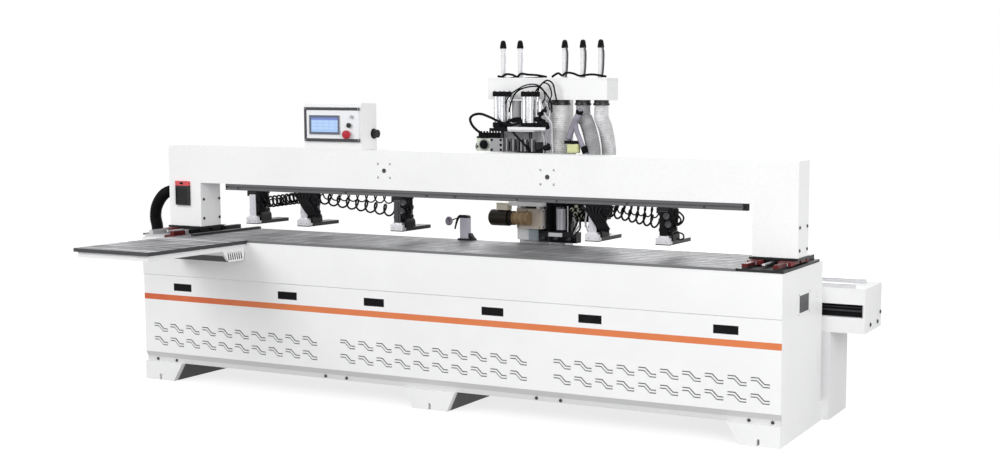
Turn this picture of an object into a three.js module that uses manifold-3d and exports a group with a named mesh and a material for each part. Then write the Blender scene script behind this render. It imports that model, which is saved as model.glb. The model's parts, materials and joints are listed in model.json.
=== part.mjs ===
// CNC horizontal drilling machine for the edges of panels. Lengths are millimetres and +Z is up.
// Inside the machine group X runs from the bed's left end, Y from its front face to the rear and Z
// from the floor. The exported group moves that corner so that the origin lies under the middle foot.
import * as THREE from "three";
import { mergeVertices } from "three/addons/utils/BufferGeometryUtils.js";
import Module from "manifold-3d";

const wasm = await Module();
wasm.setup();

// Clearances and tolerances
const seatGap = 0.3; // between pieces that rest on or against each other
const runningGap = 0.5; // between pieces that slide or turn in each other
const overrun = 20; // how far a cut runs past the face that it opens
const mergeDistance = 0.001;
const leastHoseGap = 0.4;

// Bed: a welded sheet housing that is open below, on three cross feet
const bed = {
  length: 3980,
  depth: 650,
  top: 848,
  underside: 108,
  sheet: 8,
  fasciaBottom: 630,
  fasciaProud: 5,
  lipTop: 166,
  lipBottom: 134,
  lipDepth: 20,
};
const grip = { width: 132, height: 44, middle: 561, depth: 4 };
const gripPlaceShares = [0.0734, 0.2638, 0.4108, 0.5985, 0.742, 0.9276];
const vent = {
  width: 98,
  height: 37,
  slot: 8,
  pitch: 120,
  perRow: 10,
  groups: 3,
  groupGap: 137,
  firstX: 71,
  lowerRow: 216,
  upperRow: 297,
};
const ventBendShares = [0.32, 0.42, 0.64, 0.74];
const sideCover = { front: 270, rear: 425, bottom: 622, top: 710, recess: 5 };
const foot = {
  endTop: 276,
  endBottom: 211,
  middleTop: 320,
  middleBottom: 220,
  slotWidth: 16,
  slotHeight: 38,
  slotDepth: 40,
  slotFromEnd: 112,
  wall: 10,
};

// Rear beam that carries the drilling head, and the two legs under it
const beam = {
  behindBed: 40,
  depth: 330,
  bottom: 470,
  top: 705,
  pastBed: 210,
  wall: 8,
  grooveBottom: 553,
  grooveTop: 622,
  grooveDepth: 25,
  capThickness: 10,
  cableHole: 30,
};
const leg = { width: 200, outset: 35, wall: 8 };
const xRail = { width: 23, height: 18, waist: 15, waistBottom: 6, waistTop: 11, inset: 55, endInset: 60 };

// Tables
const table = {
  thickness: 14,
  frontSetback: 3,
  depth: 617,
  left: 258,
  grooves: 9,
  grooveWidth: 10,
  grooveDepth: 5,
};
const wing = { width: 517, reach: 745, thickness: 20, grooves: 11 };
const wingFrame = { inset: 16, height: 30, sheet: 6, ribs: 3 };
const wingBracket = {
  top: 177,
  bottom: 121,
  foot: 11,
  drop: 62,
  width: 475,
  fins: 7,
  finWidth: 9,
  finDepth: 12,
};

// Cross slides that carry the gantry: rails on the bed top and shoes under the posts
const track = {
  width: 243,
  fromEnd: 2,
  front: 20,
  length: 580,
  plate: 14,
  railWidth: 28,
  railHeight: 24,
  railFromMiddle: 80,
  railInset: 5,
};
const shoe = {
  overhang: 12,
  plate: 12,
  blockWidth: 62,
  blockLength: 72,
  blockDrop: 18,
  blockInset: 6,
};

// Gantry: a beam on two posts, all one hollow section
const gantry = { front: 228, depth: 165, postWidth: 240, beamBottom: 1162, top: 1380, wall: 6 };
const pressRail = { left: 430, beforePost: 35, depth: 40, height: 36, setback: 4, slot: 8, slotDepth: 9 };

// Press units that hang from the rail
const press = {
  bodyWidth: 50,
  bodyDepth: 110,
  bodyHeight: 125,
  bodySetback: 12,
  flute: 6,
  flutes: 3,
  capHeight: 18,
  capProud: 3,
  rod: 12,
  rodSpacing: 54,
  rodTop: 1080,
  rodRoom: 12,
  padWidth: 80,
  padLength: 280,
  padBottom: 932,
  padThickness: 20,
  lipHeight: 38,
  lipThickness: 20,
  padSetback: 3,
  travel: 60,
};
const pressPlaceShares = [0.1563, 0.249, 0.4106, 0.7163, 0.8181];

// Control box on the beam, and the breaker on the left post
const control = {
  left: 1012,
  right: 1404,
  top: 1643,
  depth: 144,
  wall: 4,
  chamfer: 6,
  panelInset: 9,
  panelBottom: 1425,
  panelTop: 1618,
  panelThickness: 12,
  screenLeft: 1060,
  screenRight: 1269,
  screenBottom: 1465,
  screenTop: 1573,
  bezel: 6,
  bezelRim: 12,
  bezelDepth: 3,
};
const eStop = { x: 1323, z: 1466, stem: 13, reach: 5, cap: 24, neck: 9, capHeight: 20, dome: 5 };
const startButton = { x: 1335, z: 1518, stem: 8, reach: 5, cap: 14, neck: 6, capHeight: 9, dome: 2 };
const keySwitch = {
  x: 1353,
  z: 1566,
  barrel: 8,
  reach: 6,
  face: 10,
  faceHeight: 5,
  bowWidth: 3,
  bowLength: 13,
  bowHeight: 16,
};
const sideKnob = { y: 345, z: 1471, stem: 8, reach: 2, radius: 24, height: 26, grips: 10, gripDepth: 2 };
const breaker = {
  left: 56,
  right: 160,
  bottom: 1025,
  top: 1169,
  depth: 16,
  chamfer: 4,
  recess: 6,
  rim: 10,
  shoulder: 104,
};

// Supply conduit on the left end, from the post to a bracket on the bed
const conduit = {
  radius: 31,
  ribRadius: 35,
  ribPitch: 15,
  ribWidth: 9,
  sides: 8,
  y: 310,
  top: 1106,
  straight: 42,
  landX: -164,
  landY: 290,
};
// The places that the conduit passes between its straight ends
const conduitBends = [
  [-118, 308, 1079],
  [-172, 302, 1010],
  [-182, 296, 940],
];
const conduitBracket = { reach: 240, width: 84, thickness: 10, top: 838, flange: 70 };

// Coil hoses between the press units
const coil = { tube: 4.5, radius: 30, sides: 5, stepsPerCurl: 8, behindFront: 62, rampShare: 0.12 };
const coilSpans = [
  { from: 0, to: 1, curls: 10, startDrop: 70, endDrop: 28 },
  { from: 1, to: 2, curls: 9, startDrop: 28, endDrop: 92 },
  { from: 3, to: 4, curls: 8, startDrop: 28, endDrop: 88 },
];

// Pop-up stop at the rear edge of the table
const stop = {
  x: 1851,
  width: 56,
  depth: 29,
  fromRear: 40,
  bottom: 800,
  top: 1008,
  topRadius: 18,
  guideWall: 10,
  guideHeight: 10,
  guideRight: 22,
  ribHeight: 30,
  travel: 140,
};

// Drilling head: cross carriage, column with the dust manifold, feed slide, lift slide, drill block
const carriage = {
  left: 1950,
  width: 690,
  plate: 20,
  front: 680,
  rear: 1040,
  runnerWidth: 60,
  runnerLength: 74,
  runnerDrop: 12,
  runnerInset: 30,
  feedRail: 24,
  feedRailHeight: 13,
  feedRailInset: 110,
};
const column = { left: 2182, width: 156, depth: 100, wall: 8, base: 30, baseThickness: 14, aboveDeck: 274 };
const manifold = {
  left: 1907,
  width: 768,
  front: 760,
  depth: 140,
  belowColumn: 108,
  height: 123,
  sheet: 4,
  collarHeight: 22,
  collarWall: 3,
};
const gate = { radius: 11, cap: 14, bodyHeight: 177, capHeight: 40, flange: 17, flangeHeight: 10, sides: 10 };
const gatePlaceShares = [0.079, 0.226, 0.606, 0.757, 0.904];
const dustHose = {
  sides: 8,
  ribHeight: 4,
  ribPitch: 26,
  ribWidth: 14,
  radii: [54, 43, 42],
  startX: [2345, 2490, 2606],
  landX: [2357, 2490, 2574],
  landY: [830, 788, 876],
};
const feed = {
  left: 1985,
  width: 620,
  front: 740,
  rear: 890,
  plate: 20,
  postLeft: 2100,
  postRight: 2272,
  postFront: 785,
  postThickness: 20,
  crossheadBottom: 1200,
  top: 1490,
  deck: 16,
  deckFront: 645,
  guideWidth: 24,
  guideDepth: 13,
  guideInset: 22,
  guideBottom: 900,
  guideTop: 1470,
  rib: 20,
  travel: 60,
};
const lift = {
  left: 2104,
  right: 2276,
  front: 752,
  thickness: 26,
  top: 1430,
  bottom: 864.5,
  shelfLeft: 2018,
  shelf: 40,
  shelfFront: 670,
  rod: 10,
  rodTop: 1560,
  travel: 35,
};
const cylinder = {
  leftX: 2036,
  rightX: 2221,
  size: 72,
  y: 700,
  height: 206,
  endCap: 24,
  bore: 31,
  tieRod: 4,
  tieInset: 8,
};
const motor = {
  left: 1985,
  fanCover: 47,
  fanLength: 120,
  body: 39,
  bodyEnd: 2240,
  fins: 4,
  y: 660,
  z: 996,
  boxLeft: 2138,
  boxRight: 2300,
  boxFront: 685,
  boxBottom: 937,
  boxTop: 1050,
  plateLeft: 2190,
  plateRight: 2262,
  plateThickness: 18,
};
const drillBlock = {
  left: 2282,
  right: 2520,
  front: 690,
  rear: 885,
  top: 925,
  chamfer: 10,
  deepRight: 2410,
  shallowRear: 750,
  towerLeft: 2304,
  towerRight: 2412,
  towerFront: 752,
  towerTop: 1071,
  spindleX: 2401,
  spindleRadius: 34,
  spindleTop: 1068,
  spindleCap: 12,
  spigot: 30,
  spigotWall: 3,
  hoodRight: 2622,
  hoodFront: 735,
  hoodRear: 925,
  hoodBottom: 990,
  hoodTop: 1080,
  hoodSlope: 36,
};
const chuck = {
  axisZ: 888,
  firstX: 2318,
  pitch: 82,
  shank: 8,
  shankIn: 26,
  radius: 11,
  length: 24,
  nose: 7,
  bit: 3,
  bitLength: 26,
};
const airUnit = {
  left: 1843,
  right: 1941,
  valvesLeft: 1856,
  valvesRight: 1998,
  front: 735,
  bottom: 1372,
  middle: 1446,
  top: 1480,
  knob: 16,
  knobHeight: 12,
};

// Places that follow from the sizes above
const tableTop = bed.top + seatGap + table.thickness;
const beamFront = bed.depth + beam.behindBed;
const beamRear = beamFront + beam.depth;
const trackTop = bed.top + seatGap + track.plate;
const trackRailTop = trackTop + track.railHeight;
const shoePlateBottom = trackRailTop + 4 * runningGap;
const postBottom = shoePlateBottom + shoe.plate + seatGap;
const railBottom = gantry.beamBottom - seatGap - pressRail.height;
const pressTop = railBottom - seatGap;
const pressFront = gantry.front + press.bodySetback;
const xRailTop = beam.top + seatGap + xRail.height;
const carriageBottom = xRailTop + 2 * runningGap;
const carriageTop = carriageBottom + carriage.plate;
const feedBottom = carriageTop + carriage.feedRailHeight + runningGap;
const feedTop = feedBottom + feed.plate;
const deckTop = feed.top + feed.deck;
const cylinderBottom = deckTop + seatGap;
const columnFront = manifold.front + manifold.depth + seatGap;
const cylinderPlaces = [cylinder.leftX, cylinder.rightX];
const ventGroupPitch = vent.perRow * vent.pitch + vent.groupGap;
const columnTop = deckTop + column.aboveDeck;
const manifoldBottom = columnTop - manifold.belowColumn;
const hoseStartZ = manifoldBottom - manifold.collarHeight - seatGap;
const rightTrack = bed.length - track.fromEnd - track.width;
const tableRight = rightTrack - seatGap;
const pressRailRight = bed.length - gantry.postWidth - pressRail.beforePost;
const pressPlaces = pressPlaceShares.map((share) => share * bed.length);

// Materials
function paint(color, roughness, metalness = 0) {
  return new THREE.MeshStandardMaterial({ color, roughness, metalness });
}
const whitePaint = paint(0xf1f1ef, 0.45);
const greyPaint = paint(0xc9cac8, 0.5);
const blackPart = paint(0x151515, 0.5);
const darkSteel = paint(0x33343a, 0.45, 0.7);
const tableMetal = paint(0x8f9094, 0.45, 0.8);
const aluminium = paint(0xb4b5ba, 0.4, 0.85);
const darkRed = paint(0x4a1418, 0.5);
const hoseGrey = paint(0xa4a4a4, 0.6);
const brownPaint = paint(0x6f5a3c, 0.45, 0.4);
const blockBlack = paint(0x202124, 0.5, 0.3);
const redPart = paint(0x9c1620, 0.35);

// Solids
function solidFrom(geometry) {
  const bare = geometry.index ? geometry.toNonIndexed() : geometry.clone();
  bare.deleteAttribute("normal");
  bare.deleteAttribute("uv");
  const merged = mergeVertices(bare, mergeDistance);
  const solid = new wasm.Manifold(
    new wasm.Mesh({
      numProp: 3,
      vertProperties: merged.attributes.position.array,
      triVerts: new Uint32Array(merged.index.array),
    }),
  );
  return solid;
}

function geometryFrom(solid) {
  const mesh = solid.getMesh();
  const positions = new Float32Array(mesh.numVert * 3);
  for (let i = 0; i < mesh.numVert; i++) {
    const start = i * mesh.numProp;
    positions.set(mesh.vertProperties.subarray(start, start + 3), i * 3);
  }
  const geometry = new THREE.BufferGeometry();
  geometry.setAttribute("position", new THREE.BufferAttribute(positions, 3));
  geometry.setIndex(new THREE.BufferAttribute(mesh.triVerts, 1));
  const flat = geometry.toNonIndexed();
  flat.computeVertexNormals();
  return flat;
}

function join(...solids) {
  return solids.reduce((all, next) => all.add(next));
}

function cut(solid, ...tools) {
  return tools.reduce((left, tool) => left.subtract(tool), solid);
}

function box(x0, x1, y0, y1, z0, z1) {
  const geometry = new THREE.BoxGeometry(x1 - x0, y1 - y0, z1 - z0);
  geometry.translate((x0 + x1) / 2, (y0 + y1) / 2, (z0 + z1) / 2);
  return solidFrom(geometry);
}

const alongX = new THREE.Vector3(1, 0, 0);
const alongY = new THREE.Vector3(0, 1, 0);
const alongZ = new THREE.Vector3(0, 0, 1);
const prismBases = {
  x: [alongY, alongZ, alongX],
  y: [alongZ, alongX, alongY],
  z: [alongX, alongY, alongZ],
};

// A prism along an axis. The outline's points are in the two axes that follow it in turn:
// (y, z) for x, (z, x) for y and (x, y) for z.
function prism(axis, outline, from, to) {
  const shape = new THREE.Shape(outline.map(([a, b]) => new THREE.Vector2(a, b)));
  const geometry = new THREE.ExtrudeGeometry(shape, { depth: to - from, bevelEnabled: false });
  geometry.translate(0, 0, from);
  geometry.applyMatrix4(new THREE.Matrix4().makeBasis(...prismBases[axis]));
  return solidFrom(geometry);
}

function circle(a, b, radius, sides) {
  const points = [];
  for (let i = 0; i < sides; i++) {
    const angle = (2 * Math.PI * (i + 0.5)) / sides;
    points.push([a + radius * Math.cos(angle), b + radius * Math.sin(angle)]);
  }
  return points;
}

function rod(axis, a, b, radius, from, to, sides = 20) {
  return prism(axis, circle(a, b, radius, sides), from, to);
}

// A turned piece: the profile's points are (radius, distance along the axis), from the axis and back
// to it, and the axis is one of the three above, or its opposite.
function turned(profile, direction, place, sides = 24) {
  const points = profile.map(([radius, along]) => new THREE.Vector2(radius, along));
  const geometry = new THREE.LatheGeometry(points, sides);
  const turn = new THREE.Quaternion().setFromUnitVectors(alongY, direction);
  geometry.applyQuaternion(turn);
  geometry.translate(...place);
  return solidFrom(geometry);
}

// A tube over rings that turn as little as possible from one to the next, closed at both ends.
function tubeOver(points, radii, sides) {
  const positions = [];
  const indices = [];
  const tangents = points.map((point, i) => {
    const before = points[Math.max(i - 1, 0)];
    const after = points[Math.min(i + 1, points.length - 1)];
    return new THREE.Vector3().subVectors(after, before).normalize();
  });
  const start = Math.abs(tangents[0].z) < 0.9 ? alongZ : alongX;
  const normal = new THREE.Vector3().crossVectors(tangents[0], start).normalize();
  points.forEach((point, i) => {
    if (i > 0) {
      normal.applyQuaternion(new THREE.Quaternion().setFromUnitVectors(tangents[i - 1], tangents[i]));
    }
    const binormal = new THREE.Vector3().crossVectors(tangents[i], normal);
    for (let k = 0; k < sides; k++) {
      const angle = (2 * Math.PI * k) / sides;
      const place = point.clone();
      place.addScaledVector(normal, radii[i] * Math.cos(angle));
      place.addScaledVector(binormal, radii[i] * Math.sin(angle));
      positions.push(place.x, place.y, place.z);
    }
  });
  for (let i = 0; i + 1 < points.length; i++) {
    for (let k = 0; k < sides; k++) {
      const a = i * sides + k;
      const b = i * sides + ((k + 1) % sides);
      indices.push(a, b, b + sides, a, b + sides, a + sides);
    }
  }
  const last = (points.length - 1) * sides;
  for (let k = 1; k + 1 < sides; k++) {
    indices.push(0, k + 1, k);
    indices.push(last, last + k, last + k + 1);
  }
  const geometry = new THREE.BufferGeometry();
  geometry.setAttribute("position", new THREE.Float32BufferAttribute(positions, 3));
  geometry.setIndex(indices);
  return geometry;
}

// The least clear distance between parts of one tube that are more than a few radii apart along it.
function printLeastGap(name, points, radius) {
  const along = [0];
  for (let i = 1; i < points.length; i++) {
    along.push(along[i - 1] + points[i].distanceTo(points[i - 1]));
  }
  let least = Infinity;
  for (let i = 0; i < points.length; i++) {
    for (let j = i + 1; j < points.length; j++) {
      if (along[j] - along[i] > Math.PI * 2 * radius) {
        least = Math.min(least, points[i].distanceTo(points[j]) - 2 * radius);
      }
    }
  }
  console.log(`${name}: least gap to itself ${least.toFixed(1)} mm, length ${along.at(-1).toFixed(0)} mm`);
  if (least < leastHoseGap) {
    throw new Error(`${name} comes too close to itself`);
  }
}

const machine = new THREE.Group();

function addPart(name, solid, material) {
  const geometry = solid.isBufferGeometry ? solid : geometryFrom(solid);
  const mesh = new THREE.Mesh(geometry, material);
  mesh.name = name;
  machine.add(mesh);
}

// Bed

function bedOutline(inset) {
  const plane = bed.fasciaProud + inset;
  return [
    [bed.lipDepth + inset, inset ? bed.underside - overrun : bed.underside],
    [bed.depth - inset, inset ? bed.underside - overrun : bed.underside],
    [bed.depth - inset, bed.top - inset],
    [inset, bed.top - inset],
    [inset, bed.fasciaBottom + inset],
    [plane, bed.fasciaBottom + inset - bed.fasciaProud],
    [plane, bed.lipTop],
    [bed.lipDepth + inset, bed.lipBottom],
  ];
}

function ventSlot(x, z) {
  const [a, b, c, d] = ventBendShares;
  const top = z + vent.height;
  const outline = [
    [top, x],
    [top, x + b * vent.width],
    [z + vent.slot, x + d * vent.width],
    [z + vent.slot, x + vent.width],
    [z, x + vent.width],
    [z, x + c * vent.width],
    [top - vent.slot, x + a * vent.width],
    [top - vent.slot, x],
  ];
  return prism("y", outline, -overrun, bed.lipDepth + bed.sheet);
}

const sheetTop = bed.top - bed.sheet - seatGap;

// The front sheet, folded back under the fascia and at its lip, with its vents and grips.
function bedFront() {
  const tools = [
    prism("x", bedOutline(bed.sheet), -overrun, bed.length + overrun),
    box(-overrun, bed.length + overrun, -overrun, bed.depth + overrun, sheetTop, bed.top + overrun),
    box(-overrun, bed.length + overrun, bed.lipDepth + bed.sheet, bed.depth + overrun, -overrun, bed.top),
  ];
  for (let group = 0; group < vent.groups; group++) {
    for (let i = 0; i < vent.perRow; i++) {
      const x = vent.firstX + group * ventGroupPitch + i * vent.pitch;
      tools.push(ventSlot(x, vent.lowerRow), ventSlot(x, vent.upperRow));
    }
  }
  for (const share of gripPlaceShares) {
    const x = share * bed.length;
    tools.push(
      box(
        x - grip.width / 2,
        x + grip.width / 2,
        -overrun,
        bed.fasciaProud + grip.depth,
        grip.middle - grip.height / 2,
        grip.middle + grip.height / 2,
      ),
    );
  }
  return cut(prism("x", bedOutline(0), 0, bed.length), ...tools);
}

// An end sheet between the front and rear sheets, with a recess for its cover in the outer face.
function bedEnd(x, outerFace) {
  const { front, rear, bottom, top, recess } = sideCover;
  return cut(
    prism("x", bedOutline(bed.sheet + seatGap), x, x + bed.sheet),
    box(x - overrun, x + overrun, -overrun, bed.depth + overrun, bed.underside - 2 * overrun, bed.underside),
    box(outerFace - recess, outerFace + recess, front, rear, bottom, top),
  );
}

// A cross foot under the bed, tapered towards the floor, with an anchor slot in its front end.
function crossFoot(topLeft, topRight, bottomLeft, bottomRight, slotX) {
  const height = bed.underside - seatGap;
  const { wall } = foot;
  const body = prism(
    "y",
    [
      [0, bottomLeft],
      [0, bottomRight],
      [height, topRight],
      [height, topLeft],
    ],
    0,
    beamFront - seatGap,
  );
  const hollow = prism(
    "y",
    [
      [wall, bottomLeft + wall],
      [wall, bottomRight - wall],
      [height - wall, topRight - wall],
      [height - wall, topLeft + wall],
    ],
    foot.slotDepth + wall,
    beamFront + overrun,
  );
  const half = foot.slotWidth / 2;
  const straight = foot.slotHeight - half;
  const slot = join(
    box(slotX - half, slotX + half, -overrun, foot.slotDepth, -overrun, straight),
    rod("y", straight, slotX, half, -overrun, foot.slotDepth, 12),
  );
  return cut(body, hollow, slot);
}

function addBed() {
  const end = bed.length;
  const top = box(0, end, 0, bed.depth, bed.top - bed.sheet, bed.top);
  addPart("bed_front", bedFront(), whitePaint);
  addPart("bed_top", cut(top, stopSlot(bed.top - bed.sheet - overrun, bed.top + overrun)), whitePaint);
  addPart("bed_rear", box(0, end, bed.depth - bed.sheet, bed.depth, bed.underside, sheetTop), whitePaint);
  addPart("bed_end_left", bedEnd(0, 0), whitePaint);
  addPart("bed_end_right", bedEnd(end - bed.sheet, end), whitePaint);
  const middle = bed.length / 2;
  const halfTop = foot.middleTop / 2;
  const halfBottom = foot.middleBottom / 2;
  addPart("foot_left", crossFoot(0, foot.endTop, 0, foot.endBottom, foot.slotFromEnd), whitePaint);
  addPart(
    "foot_middle",
    crossFoot(middle - halfTop, middle + halfTop, middle - halfBottom, middle + halfBottom, middle),
    whitePaint,
  );
  addPart(
    "foot_right",
    crossFoot(end - foot.endTop, end, end - foot.endBottom, end, end - foot.slotFromEnd),
    whitePaint,
  );
}

// Rear beam

function beamOutline(inset) {
  const groove = beam.grooveDepth + inset;
  return [
    [beamFront + inset, beam.bottom + inset],
    [beamRear - inset, beam.bottom + inset],
    [beamRear - inset, beam.top - inset],
    [beamFront + inset, beam.top - inset],
    [beamFront + inset, beam.grooveTop + inset],
    [beamFront + groove, beam.grooveTop + inset],
    [beamFront + groove, beam.grooveBottom - inset],
    [beamFront + inset, beam.grooveBottom - inset],
  ];
}

function railOutline(middle, bottom) {
  const half = xRail.width / 2;
  const waist = xRail.waist / 2;
  const top = bottom + xRail.height;
  return [
    [middle - half, bottom],
    [middle + half, bottom],
    [middle + half, bottom + xRail.waistBottom],
    [middle + waist, bottom + xRail.waistTop],
    [middle + half, bottom + xRail.waistTop + (half - waist)],
    [middle + half, top],
    [middle - half, top],
    [middle - half, bottom + xRail.waistTop + (half - waist)],
    [middle - waist, bottom + xRail.waistTop],
    [middle - half, bottom + xRail.waistBottom],
  ];
}

const xRailPlaces = [beamFront + xRail.inset, beamRear - xRail.inset];

function addRearBeam() {
  const left = -beam.pastBed;
  const right = bed.length + beam.pastBed;
  const tube = cut(
    prism("x", beamOutline(0), left, right),
    prism("x", beamOutline(beam.wall), left - overrun, right + overrun),
  );
  const endPlate = (x) => box(x, x + beam.capThickness, beamFront, beamRear, beam.bottom, beam.top);
  const cableHole = rod(
    "y",
    (beam.bottom + beam.top) / 2,
    bed.length / 2,
    beam.cableHole,
    beamRear - beam.wall - overrun,
    beamRear + overrun,
    24,
  );
  const welded = join(tube, endPlate(left - beam.capThickness), endPlate(right));
  addPart("rear_beam", cut(welded, cableHole), whitePaint);
  const legAt = (x) => {
    const top = beam.bottom - seatGap;
    const outer = box(x, x + leg.width, beamFront, beamRear, 0, top);
    const inner = box(
      x + leg.wall,
      x + leg.width - leg.wall,
      beamFront + leg.wall,
      beamRear - leg.wall,
      -overrun,
      top + overrun,
    );
    return cut(outer, inner);
  };
  addPart("rear_leg_left", legAt(-leg.outset), greyPaint);
  addPart("rear_leg_right", legAt(bed.length + leg.outset - leg.width), greyPaint);
  const railAt = (y) =>
    prism("x", railOutline(y, beam.top + seatGap), left + xRail.endInset, right - xRail.endInset);
  addPart("x_rail_front", railAt(xRailPlaces[0]), aluminium);
  addPart("x_rail_rear", railAt(xRailPlaces[1]), aluminium);
}

// Tables

function groovedPlate(x0, x1, y0, y1, bottom, top, grooves) {
  const pitch = (y1 - y0) / grooves;
  const outline = [
    [y0, bottom],
    [y1, bottom],
    [y1, top],
  ];
  for (let i = grooves - 1; i >= 0; i--) {
    const y = y0 + (i + 0.5) * pitch;
    const half = table.grooveWidth / 2;
    outline.push([y + half, top]);
    outline.push([y + half, top - table.grooveDepth]);
    outline.push([y - half, top - table.grooveDepth]);
    outline.push([y - half, top]);
  }
  outline.push([y0, top]);
  return prism("x", outline, x0, x1);
}

function addTables() {
  const plate = groovedPlate(
    table.left,
    tableRight,
    table.frontSetback,
    table.frontSetback + table.depth,
    bed.top + seatGap,
    tableTop,
    table.grooves,
  );
  addPart("main_table", cut(plate, stopSlot(bed.top, tableTop + overrun)), tableMetal);

  const wingRear = table.frontSetback - seatGap;
  const wingBottom = tableTop - wing.thickness;
  const wingRight = table.left + wing.width;
  const wingPlate = groovedPlate(
    table.left,
    wingRight,
    -wing.reach,
    wingRear,
    bed.top + seatGap,
    tableTop,
    wing.grooves,
  );
  const apronTop = bed.top + seatGap + table.thickness / 2;
  const apron = box(table.left, wingRight, -wing.reach, -seatGap, wingBottom, apronTop);
  addPart("wing_table", join(wingPlate, apron), tableMetal);
  addPart("wing_frame", wingSupport(wingRight, wingBottom - seatGap), whitePaint);
}

// The tray under the wing table with its ribs, and the finned bracket that holds it to the bed.
function wingSupport(wingRight, top) {
  const left = table.left + wingFrame.inset;
  const right = wingRight - wingFrame.inset;
  const front = -wing.reach + wingFrame.inset;
  const rear = -seatGap;
  const bottom = top - wingFrame.height;
  let tray = cut(
    box(left, right, front, rear, bottom, top),
    box(
      left + wingFrame.sheet,
      right - wingFrame.sheet,
      front + wingFrame.sheet,
      rear - wingFrame.sheet,
      bottom - overrun,
      top - wingFrame.sheet,
    ),
  );
  const pitch = (rear - front) / (wingFrame.ribs + 1);
  for (let i = 1; i <= wingFrame.ribs; i++) {
    const y = front + i * pitch;
    tray = join(tray, box(left, right, y, y + wingFrame.sheet, bottom, top));
  }
  const bracketRight = right;
  const bracketBottom = bottom - wingBracket.drop;
  let bracket = prism(
    "x",
    [
      [-wingBracket.top, bottom],
      [-wingBracket.bottom - wingBracket.foot, bracketBottom],
      [-wingBracket.foot, bracketBottom],
      [rear, bottom],
    ],
    bracketRight - wingBracket.width,
    bracketRight,
  );
  const finPitch = wingBracket.bottom / wingBracket.fins;
  for (let i = 0; i < wingBracket.fins; i++) {
    const y = -wingBracket.foot - (i + 1) * finPitch;
    const finTop = bottom - wingBracket.finWidth;
    const finBottom = bracketBottom + wingBracket.finWidth;
    bracket = cut(
      bracket,
      prism(
        "x",
        [
          [y - wingBracket.finWidth, finTop],
          [y, finBottom],
          [y + wingBracket.finWidth, finBottom],
          [y, finTop],
        ],
        bracketRight - wingBracket.finDepth,
        bracketRight + overrun,
      ),
    );
  }
  return join(tray, bracket);
}

// Cross slides under the gantry

function addSlide(side, left) {
  const middle = left + track.width / 2;
  const railPlaces = [middle - track.railFromMiddle, middle + track.railFromMiddle];
  const rear = track.front + track.length;
  let base = box(left, left + track.width, track.front, rear, bed.top + seatGap, trackTop);
  for (const x of railPlaces) {
    const half = track.railWidth / 2;
    const front = track.front + track.railInset;
    const railRear = rear - track.railInset;
    const rail = box(x - half, x + half, front, railRear, trackTop - track.railInset, trackRailTop);
    base = join(base, rail);
  }
  addPart(`slide_track_${side}`, base, darkSteel);

  const front = gantry.front - shoe.overhang;
  const back = gantry.front + gantry.depth + shoe.overhang;
  let carrier = box(
    middle - track.width / 2 - shoe.overhang / 2,
    middle + track.width / 2 + shoe.overhang / 2,
    front,
    back,
    shoePlateBottom,
    shoePlateBottom + shoe.plate,
  );
  for (const x of railPlaces) {
    const half = shoe.blockWidth / 2;
    const room = track.railWidth / 2 + runningGap;
    const bottom = shoePlateBottom - shoe.blockDrop;
    const blockOutline = [
      [shoePlateBottom + shoe.plate / 2, x - half],
      [bottom, x - half],
      [bottom, x - room],
      [trackRailTop + runningGap, x - room],
      [trackRailTop + runningGap, x + room],
      [bottom, x + room],
      [bottom, x + half],
      [shoePlateBottom + shoe.plate / 2, x + half],
    ];
    for (const y of [front + shoe.blockInset, back - shoe.blockInset - shoe.blockLength]) {
      carrier = join(carrier, prism("y", blockOutline, y, y + shoe.blockLength));
    }
  }
  addPart(`slide_shoe_${side}`, carrier, darkRed);
}

// Gantry

function gantryOutline(inset) {
  const bottom = inset ? postBottom - overrun : postBottom;
  const left = inset;
  const right = bed.length - inset;
  const innerLeft = gantry.postWidth - inset;
  const innerRight = bed.length - gantry.postWidth + inset;
  return [
    [bottom, left],
    [bottom, innerLeft],
    [gantry.beamBottom + inset, innerLeft],
    [gantry.beamBottom + inset, innerRight],
    [bottom, innerRight],
    [bottom, right],
    [gantry.top - inset, right],
    [gantry.top - inset, left],
  ];
}

function pressRailProfile() {
  const y0 = gantry.front + pressRail.setback;
  const y1 = y0 + pressRail.depth;
  const z0 = railBottom;
  const z1 = railBottom + pressRail.height;
  const midY = (y0 + y1) / 2;
  const midZ = (z0 + z1) / 2;
  const half = pressRail.slot / 2;
  return [
    [y0, z0],
    [midY - half, z0],
    [midY - half, z0 + pressRail.slotDepth],
    [midY + half, z0 + pressRail.slotDepth],
    [midY + half, z0],
    [y1, z0],
    [y1, z1],
    [y0, z1],
    [y0, midZ + half],
    [y0 + pressRail.slotDepth, midZ + half],
    [y0 + pressRail.slotDepth, midZ - half],
    [y0, midZ - half],
  ];
}

function addGantry() {
  addSlide("left", track.fromEnd);
  addSlide("right", rightTrack);
  const rear = gantry.front + gantry.depth;
  const frame = cut(
    prism("y", gantryOutline(0), gantry.front, rear),
    prism("y", gantryOutline(gantry.wall), gantry.front + gantry.wall, rear - gantry.wall),
  );
  addPart("gantry_frame", frame, whitePaint);
  addPart("press_rail", prism("x", pressRailProfile(), pressRail.left, pressRailRight), aluminium);
}

// Press units

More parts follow.
